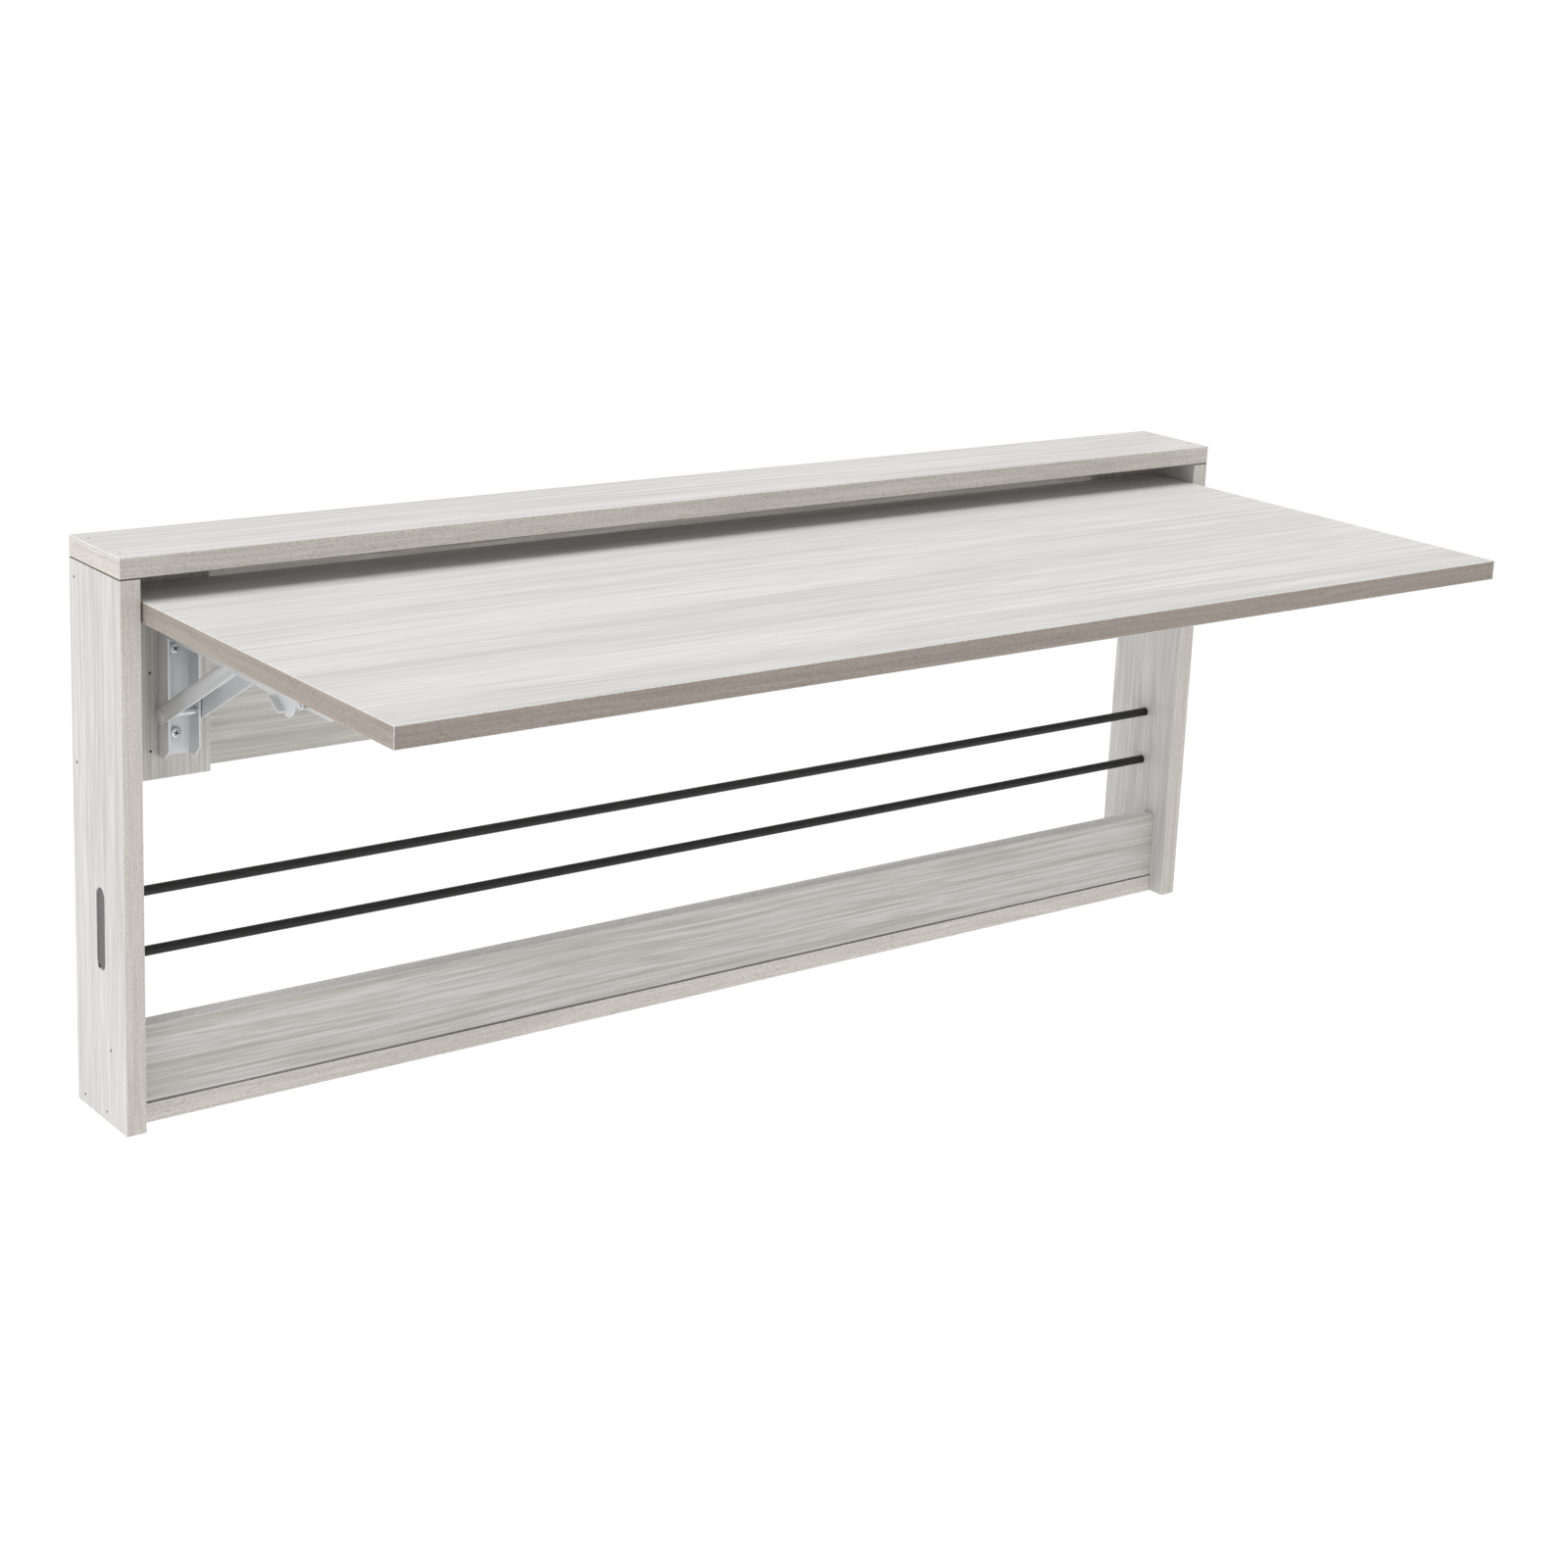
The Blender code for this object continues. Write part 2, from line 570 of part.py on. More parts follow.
def build_table_channel(side, middle, finish):
    name = f"{side}_table_channel"
    rear = HINGE_Y + TABLE_CHANNEL_BEHIND_HINGE
    front = HINGE_Y - FOLDED_REACH - TABLE_CHANNEL_NOSE
    origin = Vector((middle, HINGE_Y, HINGE_Z))
    bm = bmesh.new()
    outline = trough(middle, TABLE_HALF, SHEET, CHANNEL_TOP, CHANNEL_EDGE)
    add_trough(bm, outline, front, rear, lambda x, v, w: Vector((x, w, v)))
    obj = named_object(name, bm, finish["paint"], origin)

    over = CHANNEL_TOP + OVERSHOOT
    nose = TABLE_CHANNEL_CHAMFER
    shape = [
        (front - OVERSHOOT, over),
        (front - OVERSHOOT, CHANNEL_TOP - nose),
        (front, CHANNEL_TOP - nose),
        (front + nose, CHANNEL_EDGE),
        (front + nose, CHANNEL_EDGE - OVERSHOOT),
        (rear - nose, CHANNEL_EDGE - OVERSHOOT),
        (rear - nose, CHANNEL_EDGE),
        (rear, CHANNEL_EDGE + nose),
        (rear + OVERSHOOT, CHANNEL_EDGE + nose),
        (rear + OVERSHOOT, over),
    ]
    wide = TABLE_HALF + OVERSHOOT
    bm = bmesh.new()
    add_prism(bm, shape, middle - wide, middle + wide)
    keep_inside(obj, f"{name}_trim", bm)

    holes = bmesh.new()
    add_rod(
        holes, (middle - wide, HINGE_Y, HINGE_Z), (middle + wide, HINGE_Y, HINGE_Z), HOLE, FINE_ROUND
    )
    slot_front = HINGE_Y - FOLDED_REACH
    near = arc((LOCK_Y, LOCK_Z), HOLE, -pi / 2, pi / 2, 8)
    far = arc((slot_front, LOCK_Z), HOLE, pi / 2, 3 * pi / 2, 8)
    add_prism(holes, near + far, middle - wide, middle + wide)
    cut(obj, f"{name}_slot", holes)

    # The web stops short of the hinge, so that the wall channel's ears pass between the legs.
    rivet_holes = bmesh.new()
    web_end = HINGE_Y - EAR_RADIUS - SHEET
    low = (middle - TABLE_INNER, web_end, CHANNEL_TOP - 2 * SHEET)
    add_box(rivet_holes, low, (middle + TABLE_INNER, rear + OVERSHOOT, over))
    lever_hole = LEVER_PIN_DIAMETER / 2 + PIN_CLEARANCE
    outer = (middle - wide, LEVER_PIN_Y, LEVER_PIN_Z)
    add_rod(rivet_holes, outer, (middle - TABLE_INNER + SHEET, LEVER_PIN_Y, LEVER_PIN_Z), lever_hole, 12)
    for y in table_screw_places().values():
        radius = SCREW_DIAMETER / 2 + SCREW_GAP
        inside = CHANNEL_TOP - SHEET - OVERSHOOT / 2
        add_rod(rivet_holes, (middle, y, inside), (middle, y, over), radius)
    cut(obj, f"{name}_holes", rivet_holes)
    smooth(obj)


def strut_point(along, across):
    """A side view point from the strut's own line: along it from the pivot, and above it."""
    y = PIVOT_Y - along * cos(STRUT_LEAN) + across * sin(STRUT_LEAN)
    z = PIVOT_Z + along * sin(STRUT_LEAN) + across * cos(STRUT_LEAN)
    return (y, z)


def strut_flange(length, start):
    """Side outline of a strut flange from start, in strut coordinates, with a round end."""
    low, high = -STRUT_BELOW, STRUT_ABOVE
    radius = (high - low) / 2
    mid = (high + low) / 2
    first = arc((start, mid), radius, pi / 2, 3 * pi / 2, 9)
    last = arc((length, mid), radius, -pi / 2, pi / 2, 9)
    return first + last


def build_strut(side, middle, finish):
    name = f"{side}_strut"
    origin = Vector((middle, LOCK_Y, LOCK_Z))
    ends = STRUT_ABOVE
    bm = bmesh.new()
    outline = trough(middle, STRUT_HALF, STRUT_SHEET, STRUT_ABOVE, -STRUT_BELOW)
    add_trough(
        bm,
        outline,
        -STRUT_TAIL - ends,
        STRUT_LENGTH + ends,
        lambda x, v, w: Vector((x, *strut_point(w, v))),
    )
    obj = named_object(name, bm, finish["paint"], origin)

    wide = STRUT_HALF + OVERSHOOT
    bm = bmesh.new()
    shape = [strut_point(*p) for p in strut_flange(STRUT_LENGTH, -STRUT_TAIL)]
    add_prism(bm, shape, middle - wide, middle + wide)
    keep_inside(obj, f"{name}_trim", bm)

    holes = bmesh.new()
    web_low = STRUT_ABOVE - STRUT_SHEET - STRUT_WEB_CUT
    web_high = STRUT_ABOVE + OVERSHOOT
    spans = ((-2 * ends, STRUT_WEB_START), (STRUT_LENGTH - STRUT_WEB_END, STRUT_LENGTH + 2 * ends))
    for start, end in spans:
        corners = ((start, web_low), (end, web_low), (end, web_high), (start, web_high))
        add_prism(
            holes, [strut_point(*p) for p in corners], middle - STRUT_INNER, middle + STRUT_INNER
        )
    add_rod(holes, (middle - wide, LOCK_Y, LOCK_Z), (middle + wide, LOCK_Y, LOCK_Z), HOLE, FINE_ROUND)
    cut(obj, f"{name}_openings", holes)

    # Rivet heads on the pivot end: the pin itself stays in the wall channel.
    heads = bmesh.new()
    sink = STRUT_SHEET / 2
    radius = PIN_DIAMETER / 2 + RIVET_SPREAD
    for way in (-1, 1):
        face = middle + way * (STRUT_HALF - sink)
        place = Matrix.Translation((face, PIVOT_Y, PIVOT_Z)) @ Matrix.Rotation(
            0 if way > 0 else pi, 4, "Z"
        )
        dome = [(sink + along, wide) for along, wide in head(radius, RIVET_HEIGHT)]
        add_turned(heads, [(0, 0), (0, radius), *dome[1:]], place)
    joined = named_object(f"{name}_rivet_heads", heads, None)
    joined.hide_render = True
    joined.display_type = "WIRE"
    union = obj.modifiers.new("rivet_heads", "BOOLEAN")
    union.operation = "UNION"
    union.solver = "EXACT"
    union.object = joined
    smooth(obj)


def head(radius, height):
    """Half outline of a domed pin head that starts at 0 along the pin."""
    return [(0, radius), (height * 0.55, radius), (height * 0.9, radius * 0.62), (height, 0)]


def build_pins(side, middle, finish):
    radius = PIN_DIAMETER / 2
    head_radius = radius + RIVET_SPREAD
    head_height = RIVET_HEIGHT
    across = Matrix.Translation((middle, HINGE_Y, HINGE_Z))
    outer = TABLE_HALF + PIN_CLEARANCE
    collar_radius = radius + HINGE_COLLAR
    collar = (WALL_HALF + PIN_CLEARANCE, TABLE_INNER - PIN_CLEARANCE)
    half = [(0, radius), (collar[0], radius), (collar[0], collar_radius), (collar[1], collar_radius)]
    half += [(collar[1], radius), (outer, radius)]
    half += [(outer + along, wide) for along, wide in head(head_radius, head_height)]
    profile = [(-along, wide) for along, wide in reversed(half[1:])] + half[1:]
    bm = bmesh.new()
    add_turned(bm, profile, across)
    smooth(named_object(f"{side}_hinge_pin", bm, finish["zinc"], (middle, HINGE_Y, HINGE_Z)))

    bm = bmesh.new()
    reach = WALL_HALF + STRUT_GAP / 2
    place = Matrix.Translation((middle, PIVOT_Y, PIVOT_Z))
    profile = [(-reach, 0), (-reach, radius), (reach, radius), (reach, 0)]
    add_turned(bm, profile, place)
    smooth(named_object(f"{side}_strut_pivot_pin", bm, finish["zinc"], (middle, PIVOT_Y, PIVOT_Z)))

    bm = bmesh.new()
    place = Matrix.Translation((middle, LOCK_Y, LOCK_Z))
    left_end = -(TABLE_HALF + LEVER_GAP + SHEET + LOCK_PIN_PAST_LEVER)
    profile = [(left_end, 0), (left_end, radius), (outer, radius)]
    profile += [(outer + along, wide) for along, wide in head(head_radius, head_height)]
    add_turned(bm, profile, place)
    smooth(named_object(f"{side}_lock_pin", bm, finish["zinc"], (middle, LOCK_Y, LOCK_Z)))


def lever_outline():
    """Side view of the lever plate: a nose under the lock pin's path, a round finger tab, an eye.

    The tab ends short of the upper rod, which it passes when the table is folded.
    """
    top = LOCK_Z - PIN_DIAMETER / 2 - LEVER_NOSE_GAP
    nose_y = LOCK_Y - PIN_DIAMETER / 2 - LEVER_NOSE_FROM_PIN
    eye = LEVER_PIN_DIAMETER / 2 + LEVER_EYE_WALL
    tab_radius = LEVER_TAB_RADIUS
    tab = (LEVER_PIN_Y + LEVER_TAB_FROM_PIN, CHANNEL_EDGE - LEVER_TAB_DROP + tab_radius)
    root = (nose_y - LEVER_NOSE_LENGTH, CHANNEL_EDGE + LEVER_NECK_ABOVE_EDGE)
    away = hypot(root[0] - tab[0], root[1] - tab[1])
    lean = atan2(root[1] - tab[1], root[0] - tab[0])
    touch = lean - acos(tab_radius / away)
    tab_arc = arc(tab, tab_radius, touch, -pi, 9)
    notch = (tab[0] - tab_radius, root[1])
    eye_arc = arc((LEVER_PIN_Y, LEVER_PIN_Z), eye, -pi / 2, -1.5 * pi, 7)
    outline = [(nose_y, top), (nose_y, top - LEVER_NOSE_DEPTH), root, *tab_arc, notch, *eye_arc]
    return outline, root, tab_arc[0]


def build_lever(side, middle, finish):
    outline, root, low = lever_outline()
    origin = (middle - TABLE_HALF, LEVER_PIN_Y, LEVER_PIN_Z)
    inner = middle - TABLE_HALF - LEVER_GAP
    outer = inner - SHEET
    bm = bmesh.new()
    add_prism(bm, outline, outer, inner)
    obj = named_object(f"{side}_release_lever", bm, finish["paint"], origin)

    # A finger lip, bent outwards along the tab's rear edge
    slope = Vector((low[0] - root[0], low[1] - root[1])).normalized()
    inwards = Vector((slope.y, -slope.x)) * LEVER_LIP_SHEET
    first, last = Vector(root) + slope * LEVER_LIP_MARGIN, Vector(low) - slope * LEVER_LIP_MARGIN
    if inwards.y < 0:
        inwards.negate()
    corners = [first, last, last + inwards, first + inwards]
    bm = bmesh.new()
    add_prism(bm, [tuple(c) for c in corners], outer - LEVER_LIP, outer + SHEET / 2)
    lip = named_object(f"{side}_lever_lip", bm, None)
    lip.hide_render = True
    lip.display_type = "WIRE"
    union = obj.modifiers.new("lip", "BOOLEAN")
    union.operation = "UNION"
    union.solver = "EXACT"
    union.object = lip

    holes = bmesh.new()
    hole = LEVER_PIN_DIAMETER / 2 + PIN_CLEARANCE
    y, z = LEVER_PIN_Y, LEVER_PIN_Z
    add_rod(holes, (outer - OVERSHOOT, y, z), (inner + OVERSHOOT, y, z), hole, 12)
    cut(obj, f"{side}_lever_eye", holes)
    smooth(obj)

    bm = bmesh.new()
    radius = LEVER_PIN_DIAMETER / 2
    end = TABLE_INNER + LEVER_PIN_INSIDE
    start = TABLE_HALF + LEVER_GAP + SHEET + PIN_CLEARANCE
    place = Matrix.Translation((middle, y, z)) @ Matrix.Rotation(pi, 4, "Z")
    profile = [(end, 0), (end, radius), (start, radius)]
    profile += [(start + along, wide) for along, wide in head(radius + LEVER_PIN_SPREAD, LEVER_PIN_HEAD)]
    add_turned(bm, profile, place, 12)
    smooth(named_object(f"{side}_lever_pin", bm, finish["zinc"], origin))

    build_lever_spring(side, middle, finish)


def build_lever_spring(side, middle, finish):
    """A torsion spring round the lever pin, in the gap between the channel and the lever."""
    coil = LEVER_PIN_DIAMETER / 2 + PIN_CLEARANCE + SPRING_WIRE / 2
    first = middle - TABLE_HALF - PIN_CLEARANCE - SPRING_WIRE / 2
    pitch = SPRING_WIRE + SPRING_TURN_GAP
    steps = 10
    path = []
    for i in range(SPRING_TURNS * steps + 1):
        turn = 2 * pi * i / steps
        y = LEVER_PIN_Y + coil * sin(turn)
        z = LEVER_PIN_Z - coil * cos(turn)
        path.append((first - pitch * i / steps, y, z))
    start, end = path[0], path[-1]
    path.insert(0, (start[0], start[1] - SPRING_LEG / 4, start[2]))
    path.append((end[0], end[1] + SPRING_LEG, end[2]))
    curve = bpy.data.curves.new(f"{side}_lever_spring", "CURVE")
    curve.dimensions = "3D"
    curve.bevel_depth = SPRING_WIRE / 2
    curve.bevel_resolution = 1
    curve.use_fill_caps = True
    spline = curve.splines.new("POLY")
    spline.points.add(len(path) - 1)
    origin = Vector((middle - TABLE_HALF, LEVER_PIN_Y, LEVER_PIN_Z))
    for point, place in zip(spline.points, path):
        point.co = (*(Vector(place) - origin), 1)
    curve.materials.append(finish["zinc"])
    obj = bpy.data.objects.new(f"{side}_lever_spring", curve)
    obj.location = origin
    bpy.context.scene.collection.objects.link(obj)


def screw(name, point, along, length, finish, origin):
    """A pan head screw with its head's seat at the point, driven along the given direction."""
    radius = SCREW_DIAMETER / 2
    wide = SCREW_HEAD_DIAMETER / 2
    high = SCREW_HEAD_HEIGHT
    seat = JOINT_GAP
    profile = [(-high - seat, 0), (-high - seat, wide * 0.45), (-high * 0.8 - seat, wide * 0.8)]
    profile += [(-high * 0.4 - seat, wide), (-seat, wide), (-seat, radius)]
    profile += [(length - 2 * radius, radius), (length, 0)]
    bm = bmesh.new()
    turn = Vector(along).to_track_quat("X", "Z").to_matrix().to_4x4()
    add_turned(bm, profile, Matrix.Translation(point) @ turn, 12)
    smooth(named_object(name, bm, finish, origin), 40)


def build_screws(side, middle, finish):
    for level, z in wall_screw_heights().items():
        point = (middle, CHANNEL_BACK - SHEET, z)
        name = f"{side}_wall_channel_screw_{level}"
        screw(name, point, (0, 1, 0), WALL_SCREW_LENGTH, finish["zinc"], point)
    for number, y in table_screw_places().items():
        point = (middle, y, CHANNEL_TOP - SHEET)
        name = f"{side}_table_screw_{number}"
        origin = (middle, HINGE_Y, HINGE_Z)
        screw(name, point, (0, 0, 1), TABLE_SCREW_LENGTH, finish["zinc"], origin)


def build_brackets(finish):
    for side, sign in (("left", -1), ("right", 1)):
        middle = bracket_middle(sign)
        build_wall_channel(side, middle, finish)
        build_table_channel(side, middle, finish)
        build_strut(side, middle, finish)
        build_pins(side, middle, finish)
        build_lever(side, middle, finish)
        build_screws(side, middle, finish)


# Table


def build_table(finish):
    half = INNER - TABLE_SIDE_GAP
    low = (-half, TABLE_FRONT, TABLE_UNDER)
    high = (half, TABLE_BACK, TABLE_UNDER + BOARD)
    table = board("folding_table", low, high, finish["laminate"], (0, HINGE_Y, HINGE_Z))
    holes = bmesh.new()
    radius = SCREW_DIAMETER / 2 + SCREW_GAP
    end = CHANNEL_TOP - SHEET + TABLE_SCREW_LENGTH + JOINT_GAP
    for sign in (-1, 1):
        for y in table_screw_places().values():
            x = bracket_middle(sign)
            add_rod(holes, (x, y, TABLE_UNDER - OVERSHOOT), (x, y, end), radius, 10)
    cut(table, "folding_table_screw_holes", holes)


def main():
    clear_scene()
    finish = finishes()
    build_frame(finish)
    build_brads(finish)
    build_rods(finish)
    build_brackets(finish)
    build_table(finish)


main()
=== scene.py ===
"""Finishes and fittings of a wall-mounted fold-down drying rack.

The frame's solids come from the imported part. The boards, rods, end plate, brads and riveted pins
keep their solids and get a finish. The pressed steel, the strut pivot pins, the screws and the
lever springs are made again, with eased edges, collars, driver recesses and threads, and coils.
"""

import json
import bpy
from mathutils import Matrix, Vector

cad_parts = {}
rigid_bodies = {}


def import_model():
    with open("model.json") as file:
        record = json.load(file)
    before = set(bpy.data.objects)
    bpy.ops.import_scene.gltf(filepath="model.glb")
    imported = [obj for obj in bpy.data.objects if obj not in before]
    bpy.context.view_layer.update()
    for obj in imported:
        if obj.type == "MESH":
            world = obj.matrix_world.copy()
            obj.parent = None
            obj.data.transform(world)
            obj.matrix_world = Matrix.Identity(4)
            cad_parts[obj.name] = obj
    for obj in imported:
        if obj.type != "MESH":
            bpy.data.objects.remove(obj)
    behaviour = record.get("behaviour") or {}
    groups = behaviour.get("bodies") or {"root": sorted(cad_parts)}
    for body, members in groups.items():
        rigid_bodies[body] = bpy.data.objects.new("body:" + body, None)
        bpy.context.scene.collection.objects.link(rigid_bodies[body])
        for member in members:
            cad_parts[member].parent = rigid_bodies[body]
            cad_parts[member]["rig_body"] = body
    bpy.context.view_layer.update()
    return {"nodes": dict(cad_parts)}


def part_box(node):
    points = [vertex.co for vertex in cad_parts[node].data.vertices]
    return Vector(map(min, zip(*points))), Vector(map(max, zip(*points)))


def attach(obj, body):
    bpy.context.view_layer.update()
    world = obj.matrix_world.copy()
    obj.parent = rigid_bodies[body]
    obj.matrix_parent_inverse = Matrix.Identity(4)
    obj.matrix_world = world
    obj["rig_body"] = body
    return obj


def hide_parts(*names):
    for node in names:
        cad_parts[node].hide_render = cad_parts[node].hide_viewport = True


bl_info = {
    "name": "Fold-down drying rack",
    "version": (1, 0, 0),
    "blender": (4, 5, 0),
    "location": "View3D > Sidebar > Drying rack",
    "description": "Finishes and fittings of a wall-mounted fold-down drying rack",
    "category": "Object",
}

from math import cos, pi, radians, sin

import bmesh
import bpy
from mathutils import Euler, Matrix, Vector

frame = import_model()
NODES = frame["nodes"]
SIDES = ("left", "right")

# Boards by the way their grain runs, the way their wide face looks, their edge band, and the side
# where they meet another board in a seam painted dark as shade: -1 below, 1 above, 0 none
BOARDS = {
    "folding_table": ("X", "Z", "table", 0),
    "top_panel": ("X", "Z", "frame", -1),
    "bottom_shelf": ("X", "Z", "frame", 1),
    "lower_front_rail": ("X", "Y", "rail", -1),
    "upper_back_rail": ("X", "Y", "rail", 1),
    "left_side_panel": ("Z", "X", "frame", 1),
    "right_side_panel": ("Z", "X", "frame", 1),
    "left_bracket_cleat": ("Z", "Y", "frame", 1),
    "right_bracket_cleat": ("Z", "Y", "frame", 1),
}
PRESSED = ("wall_channel", "table_channel", "strut", "release_lever")
PINS = ("hinge_pin", "lock_pin", "lever_pin")
# Screws by the way they are driven
SCREWS = {
    "wall_channel_screw_upper": "Y",
    "wall_channel_screw_lower": "Y",
    "table_screw_1": "Z",
    "table_screw_2": "Z",
    "table_screw_3": "Z",
}


def body_of(node):
    return NODES[node]["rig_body"]


# Sizes and colours that a user would change


class RackBoards(bpy.types.PropertyGroup):
    pale: bpy.props.FloatVectorProperty(
        name="Face, pale",
        description="Lightest tone of the whitewashed faces",
        subtype="COLOR",
        size=4,
        default=(0.82, 0.81, 0.793, 1.0),
    )
    grey: bpy.props.FloatVectorProperty(
        name="Face, grain",
        description="Tone of the grain lines in the faces",
        subtype="COLOR",
        size=4,
        default=(0.50, 0.486, 0.462, 1.0),
    )
    rail_grain: bpy.props.FloatVectorProperty(
        name="Rail grain",
        description="Tone of the grain lines in the rails and cleats",
        subtype="COLOR",
        size=4,
        default=(0.45, 0.414, 0.36, 1.0),
    )
    frame_band: bpy.props.FloatVectorProperty(
        name="Frame edges",
        description="Tone of the frame's edge bands",
        subtype="COLOR",
        size=4,
        default=(0.75, 0.705, 0.65, 1.0),
    )
    # Lighter than the other bands as painted light, lifting the rails' edges out of the shade the
    # table casts on them
    rail_band_painted_light: bpy.props.FloatVectorProperty(
        name="Rail edges",
        description="Tone of the rails' edge bands",
        subtype="COLOR",
        size=4,
        default=(0.92, 0.89, 0.875, 1.0),
    )
    table_band: bpy.props.FloatVectorProperty(
        name="Table edges",
        description="Tone of the table's edge bands",
        subtype="COLOR",
        size=4,
        default=(0.405, 0.355, 0.31, 1.0),
    )


class RackSteel(bpy.types.PropertyGroup):
    paint: bpy.props.FloatVectorProperty(
        name="Bracket paint",
        description="Powder coat of the folding brackets",
        subtype="COLOR",
        size=4,
        default=(0.73, 0.74, 0.755, 1.0),
    )
    rod: bpy.props.FloatVectorProperty(
        name="Rod coat",
        description="Powder coat of the hanging rods",
        subtype="COLOR",
        size=4,
        default=(0.012, 0.012, 0.013, 1.0),
    )
    plate: bpy.props.FloatVectorProperty(
        name="End plate",
        description="Coat of the plate that joins the rods",
        subtype="COLOR",
        size=4,
        default=(0.032, 0.032, 0.031, 1.0),
    )
    edge_ease: bpy.props.FloatProperty(
        name="Edge ease",
        description="Width of the eased edges of the pressed steel",
        subtype="DISTANCE",
        unit="LENGTH",
        default=0.00022,
    )
    spring_turns: bpy.props.FloatProperty(
        name="Spring turns",
        description="Turns of wire in a lever spring",
        default=2.5,
        min=1.0,
        max=4.0,
    )


class RackScrews(bpy.types.PropertyGroup):
    head_height: bpy.props.FloatProperty(
        name="Head height",
        description="Height of a pan head above its seat",
        subtype="DISTANCE",
        unit="LENGTH",
        default=0.0024,
    )
    recess_depth: bpy.props.FloatProperty(
        name="Recess depth",
        description="Depth of the cross recess",
        subtype="DISTANCE",
        unit="LENGTH",
        default=0.0019,
    )
    pitch: bpy.props.FloatProperty(
        name="Thread pitch",
        description="Distance between two crests of the thread",
        subtype="DISTANCE",
        unit="LENGTH",
        default=0.0013,
    )


class RackStage(bpy.types.PropertyGroup):
    sky: bpy.props.FloatProperty(
        name="Surround",
        description="Strength of the pale light from all round",
        default=0.40,
        min=0.0,
    )
    key: bpy.props.FloatProperty(
        name="Key",
        description="Strength of the soft light from the upper left",
        default=2.35,
        min=0.0,
    )
    softness: bpy.props.FloatProperty(
        name="Key softness",
        description="Angle across the soft light, which softens its shadows",
        subtype="ANGLE",
        unit="ROTATION",
        default=radians(38),
        min=0.0,
        max=pi,
    )


# Node tools

# Where the nodes stand in the shader editor
NODE_STEP = 200
NODE_DROP = -40
NODE_ROWS = 5
SHADER_PLACE = (3600, 0)
OUTPUT_PLACE = (3900, 0)
# A Mix node's sockets A, B and Result for each kind of value
MIX_SOCKETS = {"VECTOR": (4, 5, 1), "RGBA": (6, 7, 2)}


class Graph:
    """Adds nodes to a tree from left to right and joins them."""

    def __init__(self, tree):
        self.tree = tree
        self.count = 0

    def node(self, kind, **values):
        made = self.tree.nodes.new(kind)
        made.location = (NODE_STEP * self.count, NODE_DROP * (self.count % NODE_ROWS))
        self.count += 1
        for key, value in values.items():
            setattr(made, key, value)
        return made

    def join(self, source, target):
        self.tree.links.new(source, target)

    def feed(self, socket, value):
        """Joins an output to this socket, or sets its constant."""
        if isinstance(value, bpy.types.NodeSocket):
            self.join(value, socket)
        else:
            socket.default_value = value

    def math(self, operation, a, b=0.0, clamp=False):
        made = self.node("ShaderNodeMath", operation=operation, use_clamp=clamp)
        self.feed(made.inputs[0], a)
        self.feed(made.inputs[1], b)
        return made.outputs[0]

    def weigh(self, masks, amounts):
        """The sum of the named masks, each times its amount."""
        total = None
        for name, amount in amounts.items():
            part = self.math("MULTIPLY", masks[name], amount)
            total = part if total is None else self.math("ADD", total, part)
        return total

    def stretch(self, vector, factors):
        made = self.node("ShaderNodeVectorMath", operation="MULTIPLY")
        self.feed(made.inputs[0], vector)
        made.inputs[1].default_value = factors
        return made.outputs[0]

    def scale(self, vector, factor):
        made = self.node("ShaderNodeVectorMath", operation="SCALE")
        self.join(vector, made.inputs[0])
        self.join(factor, made.inputs["Scale"])
        return made.outputs[0]

    def noise(self, vector, detail, roughness, distortion):
        made = self.node("ShaderNodeTexNoise")
        self.feed(made.inputs["Vector"], vector)
        made.inputs["Scale"].default_value = 1.0
        made.inputs["Detail"].default_value = detail
        made.inputs["Roughness"].default_value = roughness
        made.inputs["Distortion"].default_value = distortion
        return made.outputs["Fac"]

    def between(self, value, low, high, out_low=0.0, out_high=1.0):
        made = self.node("ShaderNodeMapRange", interpolation_type="SMOOTHSTEP")
        self.feed(made.inputs["Value"], value)
        made.inputs["From Min"].default_value = low
        made.inputs["From Max"].default_value = high
        made.inputs["To Min"].default_value = out_low
        made.inputs["To Max"].default_value = out_high
        return made.outputs["Result"]

    def mix(self, kind, factor, a, b):
        made = self.node("ShaderNodeMix", data_type=kind)
        first, second, result = MIX_SOCKETS[kind]
        self.feed(made.inputs[0], factor)
        self.feed(made.inputs[first], a)
        self.feed(made.inputs[second], b)
        return made.outputs[result]

    def blend(self, factor, a, b):
        return self.mix("RGBA", factor, a, b)

    def tint(self, tone, over, mask, amount):
        """Lays a colour over the tone where the mask shows."""
        return self.blend(self.math("MULTIPLY", mask, amount), tone, over)

    def parts(self, vector):
        made = self.node("ShaderNodeSeparateXYZ")
        self.feed(made.inputs[0], vector)
        return made.outputs

    def point(self, x, y, z):
        made = self.node("ShaderNodeCombineXYZ")
        for socket, value in zip(made.inputs, (x, y, z)):
            self.feed(socket, value)
        return made.outputs[0]

    def effect(self, group, **values):
        made = self.node("ShaderNodeGroup", node_tree=group)
        for key, value in values.items():
            self.feed(made.inputs[key.replace("_", " ")], value)
        return made.outputs


def effect_group(name, inputs, outputs):
    """A new group with these sockets, a graph to fill it, and its inputs and outputs."""
    tree = bpy.data.node_groups.new(name, "ShaderNodeTree")
    kinds = {"value": "NodeSocketFloat", "vector": "NodeSocketVector"}
    for label, kind, value in inputs:
        socket = tree.interface.new_socket(label, in_out="INPUT", socket_type=kinds[kind])
        if kind == "value":
            socket.default_value = value
    for label in outputs:
        tree.interface.new_socket(label, in_out="OUTPUT", socket_type=kinds["value"])
    graph = Graph(tree)
    taken = graph.node("NodeGroupInput").outputs
    given = tree.nodes.new("NodeGroupOutput").inputs
    return tree, graph, taken, given


